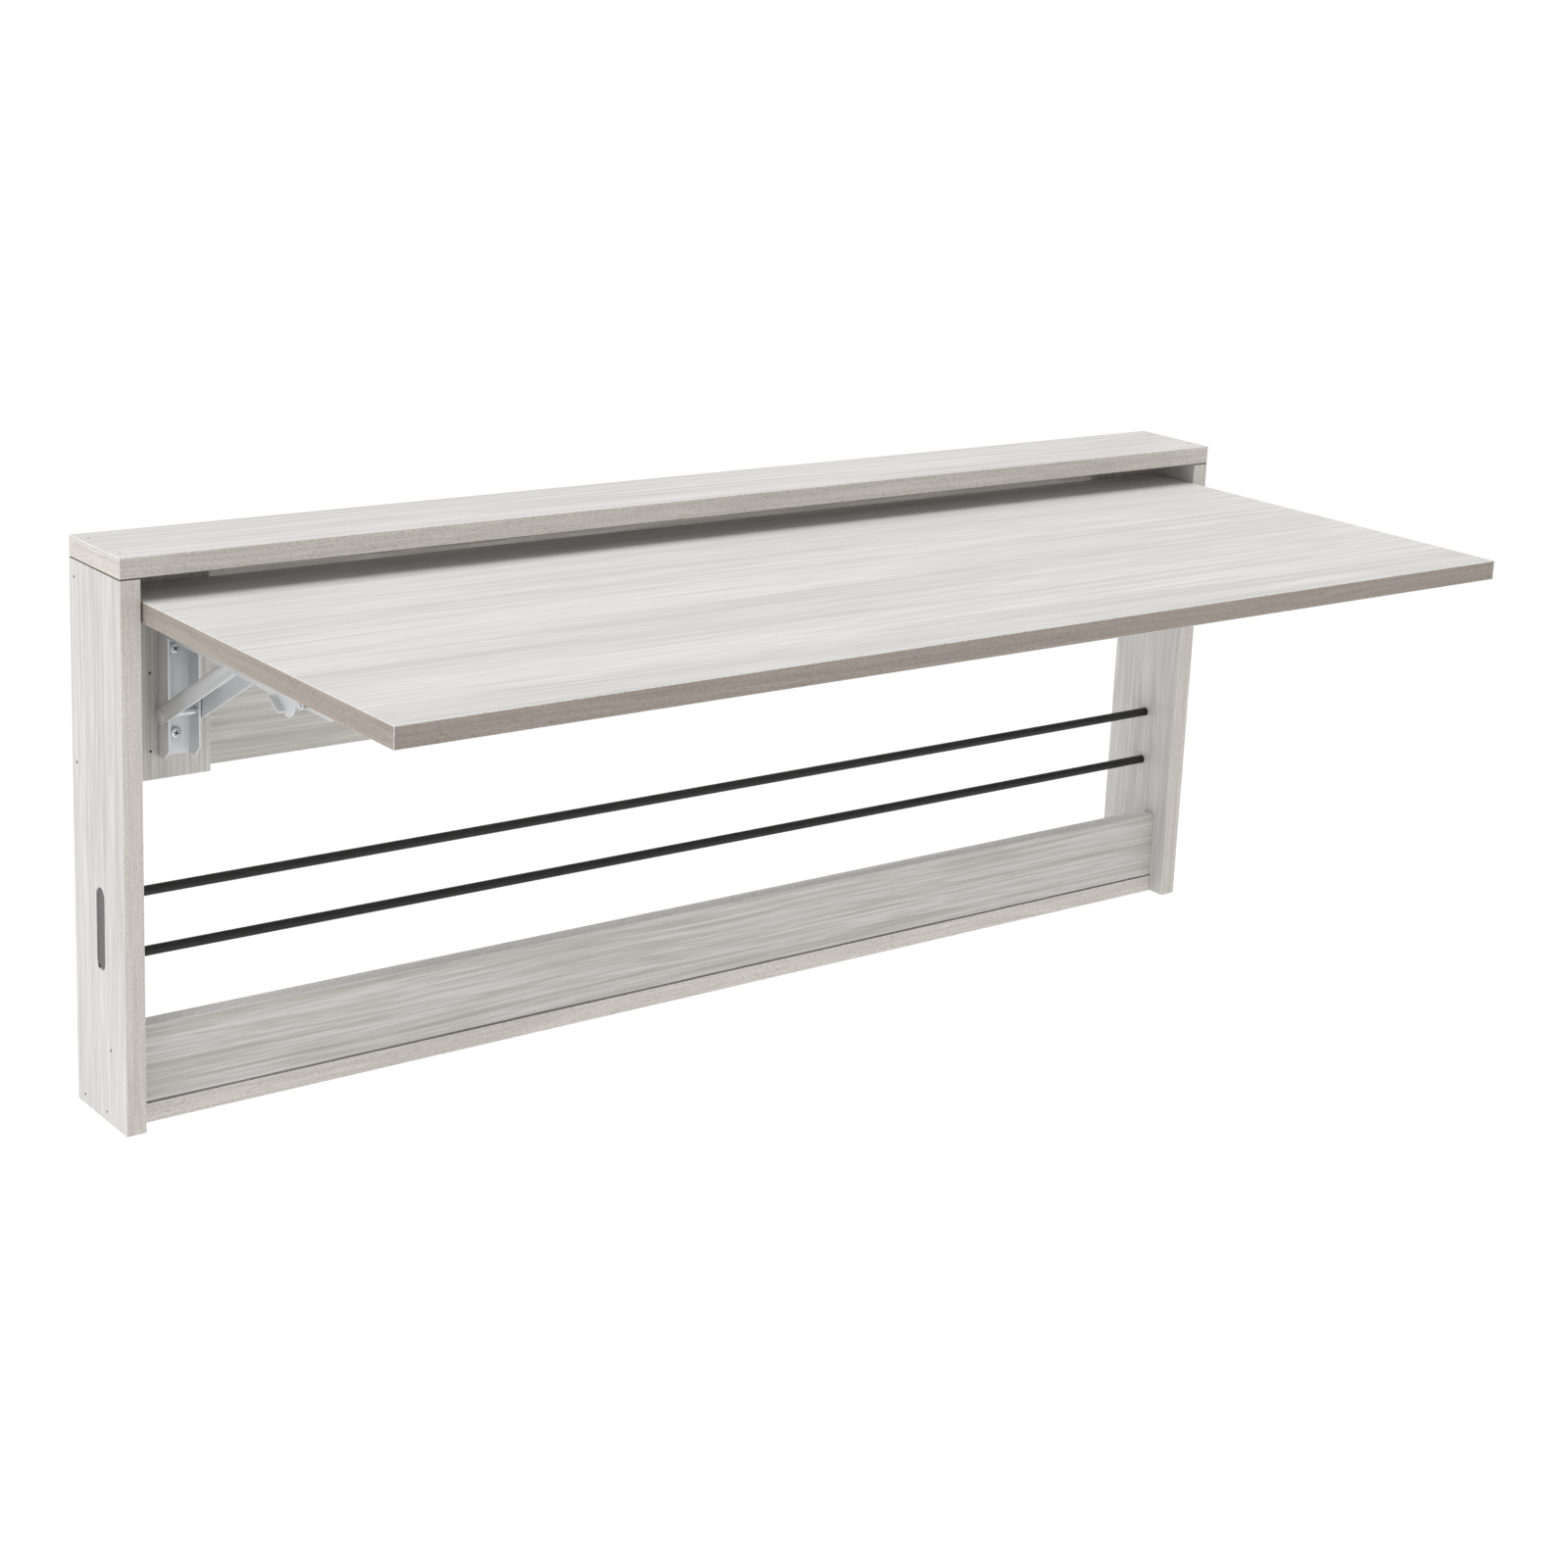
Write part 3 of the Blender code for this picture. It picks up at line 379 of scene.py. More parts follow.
# Layers of noise. Each has its repeats per metre along X, Y and Z, the detail, roughness and
# distortion of its noise, and the noise values where its mask starts and is full. Without those
# two the noise itself is given out.
GRAIN_LAYERS = {
    "Figure": ((1.3, 24.0, 24.0), (3.0, 0.55, 0.3), (0.36, 0.64)),
    "Lines": ((2.4, 170.0, 170.0), (4.0, 0.6, 0.2), (0.44, 0.66)),
    "Fibres": ((11.0, 480.0, 480.0), (3.0, 0.62, 0.0), (0.40, 0.62)),
    "Pores": ((430.0, 1700.0, 1700.0), (2.0, 0.55, 0.0), (0.50, 0.66)),
}
POWDER_LAYERS = {
    "Cloud": ((34.0, 34.0, 34.0), (3.0, 0.55, 0.0), (0.36, 0.64)),
    "Specks": ((2600.0, 2600.0, 2600.0), (1.0, 0.5, 0.0), (0.60, 0.72)),
    "Rubs": ((260.0, 90.0, 480.0), (4.0, 0.7, 0.6), (0.60, 0.74)),
    "Peel": ((1150.0, 1150.0, 1150.0), (2.0, 0.45, 0.0), None),
}
PLATING_LAYERS = {
    "Patches": ((210.0, 210.0, 210.0), (4.0, 0.6, 0.4), (0.38, 0.66)),
    "Marks": ((3200.0, 500.0, 500.0), (2.0, 0.5, 0.0), None),
    "Specks": ((3400.0, 3400.0, 3400.0), (1.0, 0.5, 0.0), (0.62, 0.72)),
}
# How finely the grain wanders, its noise, and how far it is shifted in metres
WANDER_REPEATS = (2.2, 9.0, 9.0)
WANDER_NOISE = (2.0, 0.5, 0.0)
WANDER_SHIFT = 0.016
# The part of a normal along an axis where a face starts to count as facing it, and where it does
FACING = (0.93, 0.97)


def lay_masks(graph, place, layers, given):
    """Gives out each layer of noise under its name."""
    for name, (repeats, noise, shows) in layers.items():
        value = graph.noise(graph.stretch(place, repeats), *noise)
        graph.join(graph.between(value, *shows) if shows else value, given[name])


def grain_group():
    """Straight open grain along the X axis: broad figure, lines, fibres and short pores."""
    name = "straight_grain"
    if name in bpy.data.node_groups:
        return bpy.data.node_groups[name]
    inputs = [("Place", "vector", None), ("Line Scale", "value", 1.0)]
    tree, graph, taken, given = effect_group(name, inputs, GRAIN_LAYERS)
    place = taken["Place"]
    wander = graph.noise(graph.stretch(place, WANDER_REPEATS), *WANDER_NOISE)
    shift = graph.math("MULTIPLY", graph.math("SUBTRACT", wander, 0.5), WANDER_SHIFT)
    x, y, z = graph.parts(place)
    swayed = graph.point(x, graph.math("ADD", y, shift), graph.math("ADD", z, shift))
    lay_masks(graph, graph.scale(swayed, taken["Line Scale"]), GRAIN_LAYERS, given)
    return tree


def face_group():
    """Which way a flat face looks, as a mask for each axis, and a mask of the eased edges."""
    name = "face_directions"
    if name in bpy.data.node_groups:
        return bpy.data.node_groups[name]
    inputs = [("Facing", "vector", None)]
    tree, graph, taken, given = effect_group(name, inputs, ("X", "Y", "Z", "Eased"))
    total = 0.0
    for axis, part in zip("XYZ", graph.parts(taken["Facing"])):
        mask = graph.between(graph.math("ABSOLUTE", part), *FACING)
        graph.join(mask, given[axis])
        total = graph.math("ADD", mask, total)
    graph.join(graph.math("SUBTRACT", 1.0, total, clamp=True), given["Eased"])
    return tree


def powder_group():
    """Powder coat: a slow change of tone, fine specks, rubbed marks and an orange-peel surface."""
    name = "powder_coat"
    if name in bpy.data.node_groups:
        return bpy.data.node_groups[name]
    inputs = [("Place", "vector", None), ("Fineness", "value", 1.0)]
    tree, graph, taken, given = effect_group(name, inputs, POWDER_LAYERS)
    lay_masks(graph, graph.scale(taken["Place"], taken["Fineness"]), POWDER_LAYERS, given)
    return tree


def plating_group():
    """Turned and plated metal: rings left by the tool, dull patches and pin specks."""
    name = "plated_metal"
    if name in bpy.data.node_groups:
        return bpy.data.node_groups[name]
    inputs = [("Place", "vector", None)]
    tree, graph, taken, given = effect_group(name, inputs, PLATING_LAYERS)
    lay_masks(graph, taken["Place"], PLATING_LAYERS, given)
    return tree


# Finishes

# How strongly the grain's layers show in a wide face
FACE_FIGURE = 0.22
FACE_LINES = 0.40
FACE_FIBRES = 0.34
# The rails and cleats, whose wide faces look to the front, have more contrast and a darker tone
# under the grain: partly their own tone, partly painted shade for faces turned from the light
RAIL_CONTRAST = 1.35
RAIL_TONE_AND_SHADE = 0.14
# The uprights have finer lines
UPRIGHT_LINE_SCALE = 1.45
# The speckle in an edge band: its two tones and how strongly each layer shows
BAND_DARK = 0.50
BAND_LIGHT = 1.22
BAND_LIFT = 0.03
BAND_FIBRES = 0.50
BAND_PORES = 0.52
BAND_LINES = 0.18
# Worn corners, most and least, and the painted shade in the seams between boards
WORN_MOST = 0.85
WORN_LEAST = 0.45
WORN_COLOUR = (0.88, 0.87, 0.85, 1.0)
SEAM_SHADE_TILT = (0.2, 0.4)
SEAM_PAINTED_SHADE = (0.10, 0.085, 0.07, 1.0)
# Roughness and relief by the layer that changes them, and the relief's depth in metres
BOARD_ROUGHNESS = 0.44
BOARD_ROUGHENING = {"Fibres": 0.12, "Lines": 0.10}
BOARD_RELIEF = {"Lines": -0.4, "Fibres": -0.6, "Pores": -0.6}
BOARD_DEPTH = 0.00015
BOARD_GLOSS = 0.4

PAINT_DARK = 0.84
PAINT_LIGHT = 1.12
PAINT_LIFT = 0.012
PAINT_CLOUD = 0.45
PAINT_SPECKS = 0.55
PAINT_ROUGHENING = {"Cloud": 0.10, "Rubs": -0.12}
PAINT_DEPTH = 0.00006
# How much lighter the brackets' eased edges are: a painted highlight
PAINT_EDGE_HIGHLIGHT = 1.3

METAL_PATCHES = 0.7
METAL_SPECKS = 0.6
METAL_ROUGHENING = {"Patches": 0.16, "Marks": 0.08}
METAL_DEPTH = 0.00003

BUMP_STRENGTH = 0.5


def toned(colour, factor, lift=0.0):
    """A colour made darker or lighter, at full alpha."""
    return [min(part * factor + lift, 1.0) for part in colour[:3]] + [1.0]


def blank_material(name, shown):
    """A new material, its graph, its Principled shader and its texture coordinates."""
    mat = bpy.data.materials.new(name)
    mat.use_nodes = True
    mat.diffuse_color = shown
    graph = Graph(mat.node_tree)
    shader = mat.node_tree.nodes["Principled BSDF"]
    shader.location = SHADER_PLACE
    mat.node_tree.nodes["Material Output"].location = OUTPUT_PLACE
    return mat, graph, shader, graph.node("ShaderNodeTexCoord").outputs


def bump(graph, shader, height, distance):
    made = graph.node("ShaderNodeBump")
    made.inputs["Distance"].default_value = distance
    made.inputs["Strength"].default_value = BUMP_STRENGTH
    graph.join(height, made.inputs["Height"])
    graph.join(made.outputs["Normal"], shader.inputs["Normal"])


def roughen(graph, shader, masks, amounts, base):
    rough = graph.math("ADD", graph.weigh(masks, amounts), base)
    graph.join(rough, shader.inputs["Roughness"])


def turned_place(graph, place, axis):
    """The place with this axis brought to X, where the grain runs."""
    x, y, z = graph.parts(place)
    return graph.point(*{"X": (x, y, z), "Y": (y, x, z), "Z": (z, x, y)}[axis])


def laminate(grain, wide_face, band_name, seam):
    """Whitewashed laminate on the wide faces, a band on the edges, worn corners, painted seam
    shade.
    """
    name = f"whitewashed_laminate_{grain}{wide_face}_{band_name}{seam}"
    if name in bpy.data.materials:
        return bpy.data.materials[name]
    boards = bpy.context.scene.rack_boards
    mat, graph, shader, coords = blank_material(name, boards.pale)
    facing = graph.effect(face_group(), Facing=coords["Normal"])
    along = turned_place(graph, coords["Object"], grain)
    on_ends = turned_place(graph, coords["Object"], "Y")
    place = graph.mix("VECTOR", facing[grain], along, on_ends)
    line_scale = UPRIGHT_LINE_SCALE if grain == "Z" else 1.0
    wood = graph.effect(grain_group(), Place=place, Line_Scale=line_scale)

    faces_front = wide_face == "Y"
    grain_tone = boards.rail_grain if faces_front else boards.grey
    # Front-facing boards are darkened: partly their own darker tone, partly painted shade
    front_tone_and_shade, contrast = (RAIL_TONE_AND_SHADE, RAIL_CONTRAST) if faces_front else (0.0, 1.0)
    figure = graph.math("ADD", graph.math("MULTIPLY", wood["Figure"], FACE_FIGURE), front_tone_and_shade)
    tone = graph.blend(figure, boards.pale, grain_tone)
    tone = graph.tint(tone, grain_tone, wood["Lines"], FACE_LINES * contrast)
    tone = graph.tint(tone, grain_tone, wood["Fibres"], FACE_FIBRES * contrast)

    bands = {"table": boards.table_band, "frame": boards.frame_band, "rail": boards.rail_band_painted_light}
    band = bands[band_name]
    dark = toned(band, BAND_DARK)
    edge = graph.tint(band, toned(band, BAND_LIGHT, BAND_LIFT), wood["Fibres"], BAND_FIBRES)
    edge = graph.tint(edge, dark, wood["Pores"], BAND_PORES)
    edge = graph.tint(edge, dark, wood["Lines"], BAND_LINES)

    is_edge = graph.math("SUBTRACT", 1.0, facing[wide_face], clamp=True)
    colour = graph.blend(is_edge, tone, edge)
    wear = graph.between(wood["Pores"], 0.0, 1.0, WORN_MOST, WORN_LEAST)
    colour = graph.tint(colour, WORN_COLOUR, facing["Eased"], wear)
    # The eased faces next to a seam are painted dark: painted shade for the shadow in the gap
    # between boards
    if seam:
        tilt = graph.parts(coords["Normal"])["Z"]
        in_seam_shade = graph.between(graph.math("MULTIPLY", tilt, seam), *SEAM_SHADE_TILT)
        colour = graph.tint(colour, SEAM_PAINTED_SHADE, in_seam_shade, facing["Eased"])
    graph.join(colour, shader.inputs["Base Color"])

    roughen(graph, shader, wood, BOARD_ROUGHENING, BOARD_ROUGHNESS)
    bump(graph, shader, graph.weigh(wood, BOARD_RELIEF), BOARD_DEPTH)
    shader.inputs["Specular IOR Level"].default_value = BOARD_GLOSS
    return mat


def painted(name, colour, fineness, roughness, marks, gloss):
    """Powder-coated steel with specks, rubbed marks and an orange-peel surface."""
    if name in bpy.data.materials:
        return bpy.data.materials[name]
    mat, graph, shader, coords = blank_material(name, colour)
    coat = graph.effect(powder_group(), Place=coords["Object"], Fineness=fineness)
    light = toned(colour, PAINT_LIGHT, PAINT_LIFT)
    tone = graph.tint(colour, toned(colour, PAINT_DARK), coat["Cloud"], PAINT_CLOUD)
    tone = graph.tint(tone, light, coat["Specks"], PAINT_SPECKS)
    tone = graph.tint(tone, light, coat["Rubs"], marks)
    graph.join(tone, shader.inputs["Base Color"])
    roughen(graph, shader, coat, PAINT_ROUGHENING, roughness)
    bump(graph, shader, coat["Peel"], PAINT_DEPTH)
    shader.inputs["Specular IOR Level"].default_value = gloss
    return mat


def plated(name, colour, roughness, dullness):
    """Bright or dark metal with dull patches and tool marks."""
    if name in bpy.data.materials:
        return bpy.data.materials[name]
    mat, graph, shader, coords = blank_material(name, colour)
    metal = graph.effect(plating_group(), Place=coords["Object"])
    dull = toned(colour, dullness)
    tone = graph.tint(colour, dull, metal["Patches"], METAL_PATCHES)
    tone = graph.tint(tone, dull, metal["Specks"], METAL_SPECKS)
    graph.join(tone, shader.inputs["Base Color"])
    roughen(graph, shader, metal, METAL_ROUGHENING, roughness)
    bump(graph, shader, metal["Marks"], METAL_DEPTH)
    shader.inputs["Metallic"].default_value = 1.0
    return mat


def bracket_paint():
    paint = tuple(bpy.context.scene.rack_steel.paint)
    return painted("light_grey_paint", paint, fineness=1.0, roughness=0.36, marks=0.5, gloss=0.5)


def bracket_edge_highlight_paint():
    """The same coat made lighter on the eased edges as a painted highlight, with more rubbed
    marks.
    """
    light = toned(bpy.context.scene.rack_steel.paint, PAINT_EDGE_HIGHLIGHT)
    name = "light_grey_paint_edge_highlight"
    return painted(name, light, fineness=1.6, roughness=0.28, marks=0.8, gloss=0.5)


def zinc():
    return plated("zinc_plated_steel", (0.66, 0.67, 0.69, 1.0), roughness=0.24, dullness=0.62)


# Dark steel in the driver's cross: painted shade in the recess
def recess_shade_steel():
    return plated("screw_recess_painted_shade", (0.06, 0.06, 0.062, 1.0), roughness=0.5, dullness=0.5)


def spring_steel():
    return plated("spring_steel", (0.52, 0.52, 0.53, 1.0), roughness=0.26, dullness=0.6)


def brad_steel():
    return plated("dark_brad_steel", (0.10, 0.085, 0.072, 1.0), roughness=0.46, dullness=0.4)


def give_finish(node, finish):
    """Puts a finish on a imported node, whose mesh stays as it is."""
    data = NODES[node].data
    data.materials.clear()
    data.materials.append(finish)


# Piece tools

# Two vertices closer than this are one, in metres
SAME_POINT = 1e-6
# Edges sharper than this many degrees are eased
SHARP_ANGLE = 35


def add_object(name, mesh):
    obj = bpy.data.objects.new(name, mesh)
    bpy.context.scene.collection.objects.link(obj)
    return obj


def filled_mesh(name, bm):
    """A new mesh that takes what the bmesh holds and frees it."""
    mesh = bpy.data.meshes.new(name)
    bm.to_mesh(mesh)
    bm.free()
    return mesh


def new_piece(name, bm, body, finishes, angle=30):
    """A finished piece at the origin that rides on a body of the rack."""
    mesh = filled_mesh(name, bm)
    for finish in finishes:
        mesh.materials.append(finish)
    mesh.shade_smooth()
    mesh.set_sharp_from_angle(angle=radians(angle))
    obj = add_object(name, mesh)
    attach(obj, body)
    return obj


def turned(bm, outline, steps):
    """Spins an outline of (along, radius) points about Z. Its ends are on the axis."""
    rim = [bm.verts.new((radius, 0, along)) for along, radius in outline]
    edges = [bm.edges.new(pair) for pair in zip(rim, rim[1:])]
    bmesh.ops.spin(
        bm,
        geom=rim + edges,
        cent=(0, 0, 0),
        axis=(0, 0, 1),
        angle=2 * pi,
        steps=steps,
        use_merge=True,
    )
    bmesh.ops.remove_doubles(bm, verts=bm.verts, dist=SAME_POINT)
    bmesh.ops.recalc_face_normals(bm, faces=bm.faces)


def ease_sharp_edges(bm, width):
    """Rounds the sharp edges, and gives the rounded faces finish number 1."""
    limit = radians(SHARP_ANGLE)
    sharp = [e for e in bm.edges if e.is_manifold and e.calc_face_angle() > limit]
    eased = bmesh.ops.bevel(
        bm,
        geom=sharp,
        offset=width,
        offset_type="OFFSET",
        segments=2,
        profile=0.5,
        affect="EDGES",
        clamp_overlap=True,
        material=-1,
    )
    for face in eased["faces"]:
        face.material_index = 1


# Pieces


class RACK_OT_boards(bpy.types.Operator):
    """Finish the boards, with their grain along each board"""

    bl_idname = "rack.boards"
    bl_label = "Finish boards"

    def execute(self, context):
        for node, kinds in BOARDS.items():
            give_finish(node, laminate(*kinds))
        return {"FINISHED"}


class RACK_OT_rods(bpy.types.Operator):
    """Coat the hanging rods and the plate that joins their ends"""

    bl_idname = "rack.rods"
    bl_label = "Coat rods"

    def execute(self, context):
        steel = context.scene.rack_steel
        rod_coat = painted(
            "black_coated_steel",
            tuple(steel.rod),
            fineness=1.0,
            roughness=0.52,
            marks=0.35,
            gloss=0.25,
        )
        plate_coat = painted(
            "dark_steel_plate",
            tuple(steel.plate),
            fineness=0.8,
            roughness=0.55,
            marks=0.9,
            gloss=0.3,
        )
        for node in ("upper_hanging_rod", "lower_hanging_rod"):
            give_finish(node, rod_coat)
        give_finish("rod_end_plate", plate_coat)
        return {"FINISHED"}


class RACK_OT_pressed_steel(bpy.types.Operator):
    """Make the channels, struts and levers with eased edges that carry a painted highlight"""

    bl_idname = "rack.pressed_steel"
    bl_label = "Make pressed steel"

    def execute(self, context):
        ease = context.scene.rack_steel.edge_ease
        finishes = (bracket_paint(), bracket_edge_highlight_paint())
        for side in SIDES:
            for kind in PRESSED:
                node = f"{side}_{kind}"
                bm = bmesh.new()
                bm.from_mesh(NODES[node].data)
                bmesh.ops.remove_doubles(bm, verts=bm.verts, dist=SAME_POINT)
                bmesh.ops.dissolve_limit(
                    bm, angle_limit=radians(1), verts=bm.verts, edges=bm.edges
                )
                for face in bm.faces:
                    face.material_index = 0
                ease_sharp_edges(bm, ease)
                bmesh.ops.triangulate(bm, faces=[f for f in bm.faces if len(f.verts) > 4])
                piece = new_piece(
                    f"{node}_pressed", bm, body_of(node), finishes
                )
                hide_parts(node)
        return {"FINISHED"}


class RACK_OT_pins(bpy.types.Operator):
    """Finish the riveted pins and turn the strut pivot pins with their collars"""

    bl_idname = "rack.pins"
    bl_label = "Finish pins"

    # Shares of the pin's radius
    EASE = 0.14
    COLLAR = 1.12
    # Shares of the pin's length
    COLLAR_STARTS = (0.12, 0.58)
    COLLAR_LENGTH = 0.30
    STEPS = 32

    def outline(self, length, radius):
        """The side of a pin with two collars, as (along, radius) points."""
        ease = radius * self.EASE
        collar = radius * self.COLLAR
        points = [(0, 0), (0, radius - ease), (ease, radius)]
        for share in self.COLLAR_STARTS:
            start = length * share
            end = start + length * self.COLLAR_LENGTH
            points += [(start, radius), (start + ease, collar)]
            points += [(end - ease, collar), (end, radius)]
        return points + [(length - ease, radius), (length, radius - ease), (length, 0)]

    def execute(self, context):
        for side in SIDES:
            for kind in PINS:
                give_finish(f"{side}_{kind}", zinc())
            node = f"{side}_strut_pivot_pin"
            low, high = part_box(node)
            middle = (low + high) / 2
            bm = bmesh.new()
            turned(bm, self.outline(high.x - low.x, (high.z - low.z) / 2), self.STEPS)
            end = Matrix.Translation((low.x, middle.y, middle.z))
            place = end @ Matrix.Rotation(pi / 2, 4, "Y")
            bmesh.ops.transform(bm, matrix=place, verts=bm.verts)
            piece = new_piece(f"{node}_turned", bm, body_of(node), (zinc(),))
            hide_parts(node)
        return {"FINISHED"}


class RACK_OT_screws(bpy.types.Operator):
    """Make the pan head screws with a cross recess and a thread"""

    bl_idname = "rack.screws"
    bl_label = "Make screws"

    # Shares of the head's radius: the shank, the top's flat, and the dome's foot and swell
    SHANK = 0.46
    TOP_FLAT = 0.30
    DOME_FOOT = 0.12
    DOME_SWELL = 0.88
    DOME_DEGREES = (72, 54, 36, 18, 0)
    # Shares of the head's height: the dome, and where the rim turns in to the seat
    DOME_RISE = 0.5
    RIM_DROP = 0.92
    SEAT = 0.95
    # Shares of the shank's radius: the neck, the thread's root, the point and its length
    NECK = 0.86
    ROOT = 0.74
    POINT = 0.70
    POINT_LENGTH = 1.6
    UNTHREADED = 2.2
    # How far the thread starts below the head, in metres
    THREAD_START = 0.0004
    STEPS = 28
    # The driver's cross: shares of the head's radius, and its taper towards the bottom
    CROSS_LENGTH = 1.55
    CROSS_WIDTH = 0.30
    CROSS_TAPER = (0.34, 0.60, 1.0)
    # Faces within this share of the radius, and below this share of the height or this steep, are
    # in the recess
    RECESS_REACH = 0.72
    RECESS_DROP = 0.16
    RECESS_STEEP = 0.5
    # Each screw is left at a different turn, in degrees
    NEXT_TURN = 37
    SMOOTH_ANGLE = 34

    def cross_cutter(self, head_radius, depth, quarter):
        """One tapered wing pair of the driver's cross, from above the head down to its depth."""
        bm = bmesh.new()
        bmesh.ops.create_cube(bm, size=1.0)
        size = (head_radius * self.CROSS_LENGTH, head_radius * self.CROSS_WIDTH, depth * 2)
        bmesh.ops.scale(bm, verts=bm.verts, vec=size)
        low = [v for v in bm.verts if v.co.z < 0]
        bmesh.ops.scale(bm, verts=low, vec=self.CROSS_TAPER)
        bmesh.ops.rotate(bm, verts=bm.verts, matrix=Matrix.Rotation(quarter, 3, "Z"))
        return add_object("cross_cutter", filled_mesh("cross_cutter", bm))

    def outline(self, head_radius, head, length, pitch):
        """The side of a screw, its head's top at 0 and its point below."""
        shank = head_radius * self.SHANK
        rise = head * self.DOME_RISE
        points = [(0.0, 0.0), (0.0, head_radius * self.TOP_FLAT)]
        for turn in map(radians, self.DOME_DEGREES):
            swell = self.DOME_FOOT + self.DOME_SWELL * cos(turn)
            points.append((-rise + rise * sin(turn), head_radius * swell))
        points += [(-head * self.RIM_DROP, head_radius), (-head, head_radius * self.SEAT)]
        points.append((-head, shank * self.NECK))
        crests = int((length - head - shank * self.UNTHREADED) / pitch)
        for i in range(crests):
            start = -head - self.THREAD_START - i * pitch
            points += [(start, shank * self.ROOT), (start - pitch * 0.5, shank)]
        points += [(-length + shank * self.POINT_LENGTH, shank * self.POINT), (-length, 0.0)]
        return points

    def screw_mesh(self, head_radius, length, settings):
        """A screw along Z with its cross cut out."""
        bm = bmesh.new()
        outline = self.outline(head_radius, settings.head_height, length, settings.pitch)
        turned(bm, outline, self.STEPS)
        blank = add_object("screw_blank", filled_mesh("screw_blank", bm))
        cutters = [
            self.cross_cutter(head_radius, settings.recess_depth, quarter)
            for quarter in (0, pi / 2)
        ]
        for cutter in cutters:
            modifier = blank.modifiers.new("recess", "BOOLEAN")
            modifier.operation = "DIFFERENCE"
            modifier.solver = "EXACT"
            modifier.object = cutter
        seen = blank.evaluated_get(bpy.context.evaluated_depsgraph_get())
        made = bpy.data.meshes.new_from_object(seen)
        for obj in (blank, *cutters):
            bpy.data.objects.remove(obj, do_unlink=True)
        return made

    def mark_recess(self, bm, head_radius, head):
        """Gives the faces inside the cross finish number 1, a dark steel that paints shade into
        the recess.
        """
        for face in bm.faces:
            place = face.calc_center_median()
            inside = place.xy.length < head_radius * self.RECESS_REACH and place.z > -head
            steep = abs(face.normal.z) < self.RECESS_STEEP
            deep = place.z < -head * self.RECESS_DROP or steep
            face.material_index = 1 if inside and deep else 0

    def seat(self, low, high, axis, turns):
        """Takes a screw from Z to its seat, with its head in front or below."""
        middle = (low + high) / 2
        if axis == "Y":
            top, lay = (middle.x, low.y, middle.z), pi / 2
        else:
            top, lay = (middle.x, middle.y, low.z), pi
        spin = Matrix.Rotation(radians(self.NEXT_TURN * turns), 4, "Z")
        return Matrix.Translation(top) @ Matrix.Rotation(lay, 4, "X") @ spin

    def execute(self, context):
        settings = context.scene.rack_screws
        metals = (zinc(), recess_shade_steel())
        turns = 0
        for side in SIDES:
            for kind, axis in SCREWS.items():
                turns += 1
                node = f"{side}_{kind}"
                low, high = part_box(node)
                size = high - low
                head_radius = size.x / 2
                length = size.y if axis == "Y" else size.z
                mesh = self.screw_mesh(head_radius, length, settings)
                bm = bmesh.new()
                bm.from_mesh(mesh)
                bpy.data.meshes.remove(mesh)
                self.mark_recess(bm, head_radius, settings.head_height)
                place = self.seat(low, high, axis, turns)
                bmesh.ops.transform(bm, matrix=place, verts=bm.verts)
                piece = new_piece(
                    f"{node}_cross_head",
                    bm,
                    body_of(node),
                    metals,
                    self.SMOOTH_ANGLE,
                )
                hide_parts(node)
        return {"FINISHED"}


class RACK_OT_springs(bpy.types.Operator):
    """Wind the release levers' torsion springs"""

    bl_idname = "rack.springs"
    bl_label = "Wind springs"

    WIRE_RADIUS = 0.0004
    WIRE_SIDES = 10
    STEPS_PER_TURN = 24
    # The legs' lengths as shares of the reach to the lever and of the coil's radius
    LEVER_LEG = 0.9
    CHANNEL_LEG = 0.8
    SMOOTH_ANGLE = 50

    def execute(self, context):
        turns = context.scene.rack_steel.spring_turns
        wire = self.WIRE_RADIUS
        for side in SIDES:
            node = f"{side}_lever_spring"
            pin_low, pin_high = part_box(f"{side}_lever_pin")
            low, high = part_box(node)
            centre = (pin_low + pin_high) / 2
            coil = centre.z - low.z - wire
            first = high.x - wire
            pitch = (high.x - low.x - 2 * wire) / turns
            bm = bmesh.new()
            start = Vector((first, centre.y, centre.z - coil))
            ring = Matrix.Translation(start) @ Matrix.Rotation(pi / 2, 4, "Y")
            bmesh.ops.create_circle(
                bm, cap_ends=False, radius=wire, segments=self.WIRE_SIDES, matrix=ring
            )
            bmesh.ops.rotate(
                bm, verts=bm.verts, cent=start, matrix=Matrix.Rotation(pi / 2, 3, "Z")
            )
            steps = int(turns * self.STEPS_PER_TURN)
            bmesh.ops.spin(
                bm,
                geom=bm.verts[:] + bm.edges[:],
                cent=(first, centre.y, centre.z),
                axis=(1, 0, 0),
                dvec=(-pitch * turns / steps, 0, 0),
                angle=2 * pi * turns,
                steps=steps,
            )
            rims = [e for e in bm.edges if e.is_boundary]
            bmesh.ops.holes_fill(bm, edges=rims, sides=self.WIRE_SIDES + 2)
            ends = [f for f in bm.faces if len(f.verts) > 4]
            reach = high.y - centre.y - coil
            for face in ends:
                direction = face.normal.copy()
                to_lever = direction.y > 0
                length = reach * self.LEVER_LEG if to_lever else coil * self.CHANNEL_LEG
                grown = bmesh.ops.extrude_discrete_faces(bm, faces=[face])
                bmesh.ops.translate(
                    bm,
                    verts=[v for f in grown["faces"] for v in f.verts],
                    vec=direction * length,
                )
            bmesh.ops.recalc_face_normals(bm, faces=bm.faces)
            piece = new_piece(
                f"{node}_wound",
                bm,
                body_of(node),
                (spring_steel(),),
                self.SMOOTH_ANGLE,
            )
            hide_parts(node)
        return {"FINISHED"}


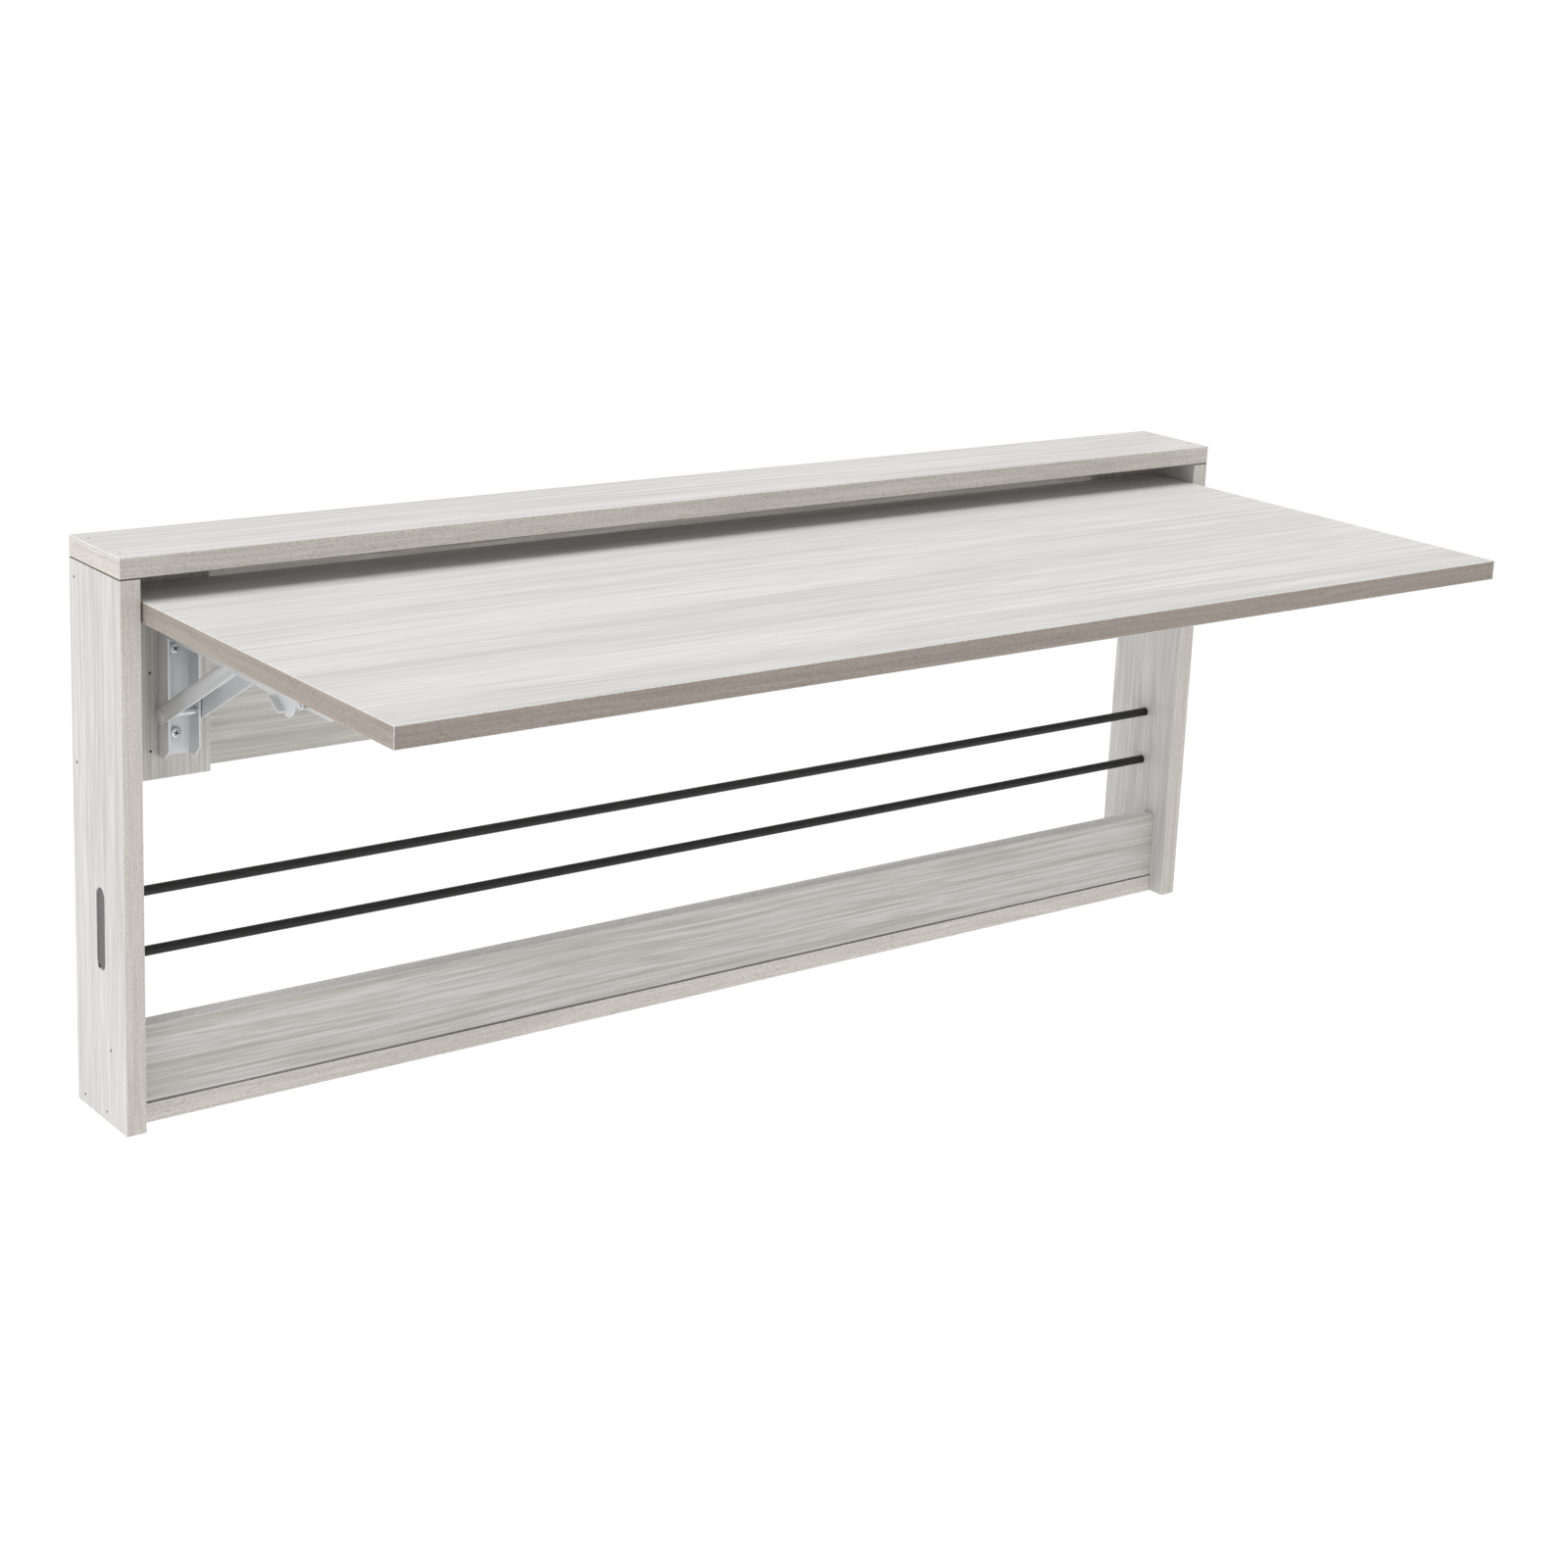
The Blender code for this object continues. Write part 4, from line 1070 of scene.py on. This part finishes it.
class RACK_OT_brads(bpy.types.Operator):
    """Finish the brads' heads, sunk just below the boards' faces"""

    bl_idname = "rack.brads"
    bl_label = "Finish brads"

    def execute(self, context):
        for node in NODES:
            if "_brad" in node:
                give_finish(node, brad_steel())
        return {"FINISHED"}


class RACK_OT_stage(bpy.types.Operator):
    """Set the floor, the soft lights and the camera"""

    bl_idname = "rack.stage"
    bl_label = "Set stage"

    KEY_TOWARD = (0.40, -0.04, -0.91)
    # The floor's distance below the origin and its half width, in metres
    FLOOR_DROP = 1.6
    FLOOR_REACH = 400.0
    FLOOR_SHOWN = (0.9, 0.9, 0.9, 1.0)
    FLOOR_TONES = ((0.94, 0.94, 0.94, 1.0), (0.97, 0.97, 0.97, 1.0))
    FLOOR_REPEATS = (3.0, 3.0, 3.0)
    FLOOR_NOISE = (2.0, 0.5, 0.0)
    CAMERA_PLACE = (-1.29439, -1.84207, 0.53575)
    CAMERA_DEGREES = (76.0587, -2.8631, -38.4362)
    CAMERA_LENS = 65.95
    CAMERA_SENSOR = 36.0
    CAMERA_SHIFT = (-0.05625, -0.1)
    CAMERA_CLIP = (0.05, 2000.0)

    def key_light(self, strength, softness):
        data = bpy.data.lights.new("key", "SUN")
        data.energy = strength
        data.angle = softness
        obj = add_object("key", data)
        obj.rotation_euler = Vector(self.KEY_TOWARD).to_track_quat("-Z", "Y").to_euler()

    def floor(self):
        mat, graph, shader, coords = blank_material("pale_floor", self.FLOOR_SHOWN)
        place = graph.stretch(coords["Object"], self.FLOOR_REPEATS)
        tone = graph.blend(graph.noise(place, *self.FLOOR_NOISE), *self.FLOOR_TONES)
        graph.join(tone, shader.inputs["Base Color"])
        shader.inputs["Roughness"].default_value = 0.9
        shader.inputs["Specular IOR Level"].default_value = 0.1
        bm = bmesh.new()
        bmesh.ops.create_grid(bm, x_segments=8, y_segments=8, size=self.FLOOR_REACH)
        bmesh.ops.translate(bm, verts=bm.verts, vec=(0, 0, -self.FLOOR_DROP))
        mesh = filled_mesh("floor", bm)
        mesh.materials.append(mat)
        add_object("floor", mesh)

    def camera(self):
        data = bpy.data.cameras.new("camera")
        data.sensor_width = self.CAMERA_SENSOR
        data.lens = self.CAMERA_LENS
        data.shift_x, data.shift_y = self.CAMERA_SHIFT
        data.clip_start, data.clip_end = self.CAMERA_CLIP
        obj = add_object("camera", data)
        obj.location = self.CAMERA_PLACE
        obj.rotation_euler = Euler([radians(a) for a in self.CAMERA_DEGREES], "XYZ")
        bpy.context.scene.camera = obj

    def surround(self, strength):
        world = bpy.data.worlds.new("surround")
        world.use_nodes = True
        sky = world.node_tree.nodes["Background"]
        sky.inputs["Color"].default_value = (1.0, 1.0, 1.0, 1.0)
        sky.inputs["Strength"].default_value = strength
        bpy.context.scene.world = world

    def execute(self, context):
        stage = context.scene.rack_stage
        self.surround(stage.sky)
        context.scene.view_settings.view_transform = "Standard"
        self.key_light(stage.key, stage.softness)
        self.floor()
        self.camera()
        return {"FINISHED"}


class RACK_PT_panel(bpy.types.Panel):
    """Lists the rack's pieces, sizes and colours"""

    bl_idname = "RACK_PT_panel"
    bl_label = "Drying rack"
    bl_space_type = "VIEW_3D"
    bl_region_type = "UI"
    bl_category = "Drying rack"

    def draw(self, context):
        for settings in (
            context.scene.rack_boards,
            context.scene.rack_steel,
            context.scene.rack_screws,
            context.scene.rack_stage,
        ):
            box = self.layout.box()
            for key in settings.__annotations__:
                box.prop(settings, key)
        for operator in OPERATORS:
            self.layout.operator(operator.bl_idname)


GROUPS = {
    "rack_boards": RackBoards,
    "rack_steel": RackSteel,
    "rack_screws": RackScrews,
    "rack_stage": RackStage,
}
OPERATORS = (
    RACK_OT_boards,
    RACK_OT_rods,
    RACK_OT_pressed_steel,
    RACK_OT_pins,
    RACK_OT_screws,
    RACK_OT_springs,
    RACK_OT_brads,
    RACK_OT_stage,
)


def register():
    for name, group in GROUPS.items():
        bpy.utils.register_class(group)
        setattr(bpy.types.Scene, name, bpy.props.PointerProperty(type=group))
    for operator in OPERATORS:
        bpy.utils.register_class(operator)
    bpy.utils.register_class(RACK_PT_panel)


def unregister():
    bpy.utils.unregister_class(RACK_PT_panel)
    for operator in reversed(OPERATORS):
        bpy.utils.unregister_class(operator)
    for name, group in reversed(GROUPS.items()):
        delattr(bpy.types.Scene, name)
        bpy.utils.unregister_class(group)


def main():
    register()
    bpy.ops.rack.boards()
    bpy.ops.rack.rods()
    bpy.ops.rack.pressed_steel()
    bpy.ops.rack.pins()
    bpy.ops.rack.screws()
    bpy.ops.rack.springs()
    bpy.ops.rack.brads()
    bpy.ops.rack.stage()


if __name__ == "__main__":
    main()
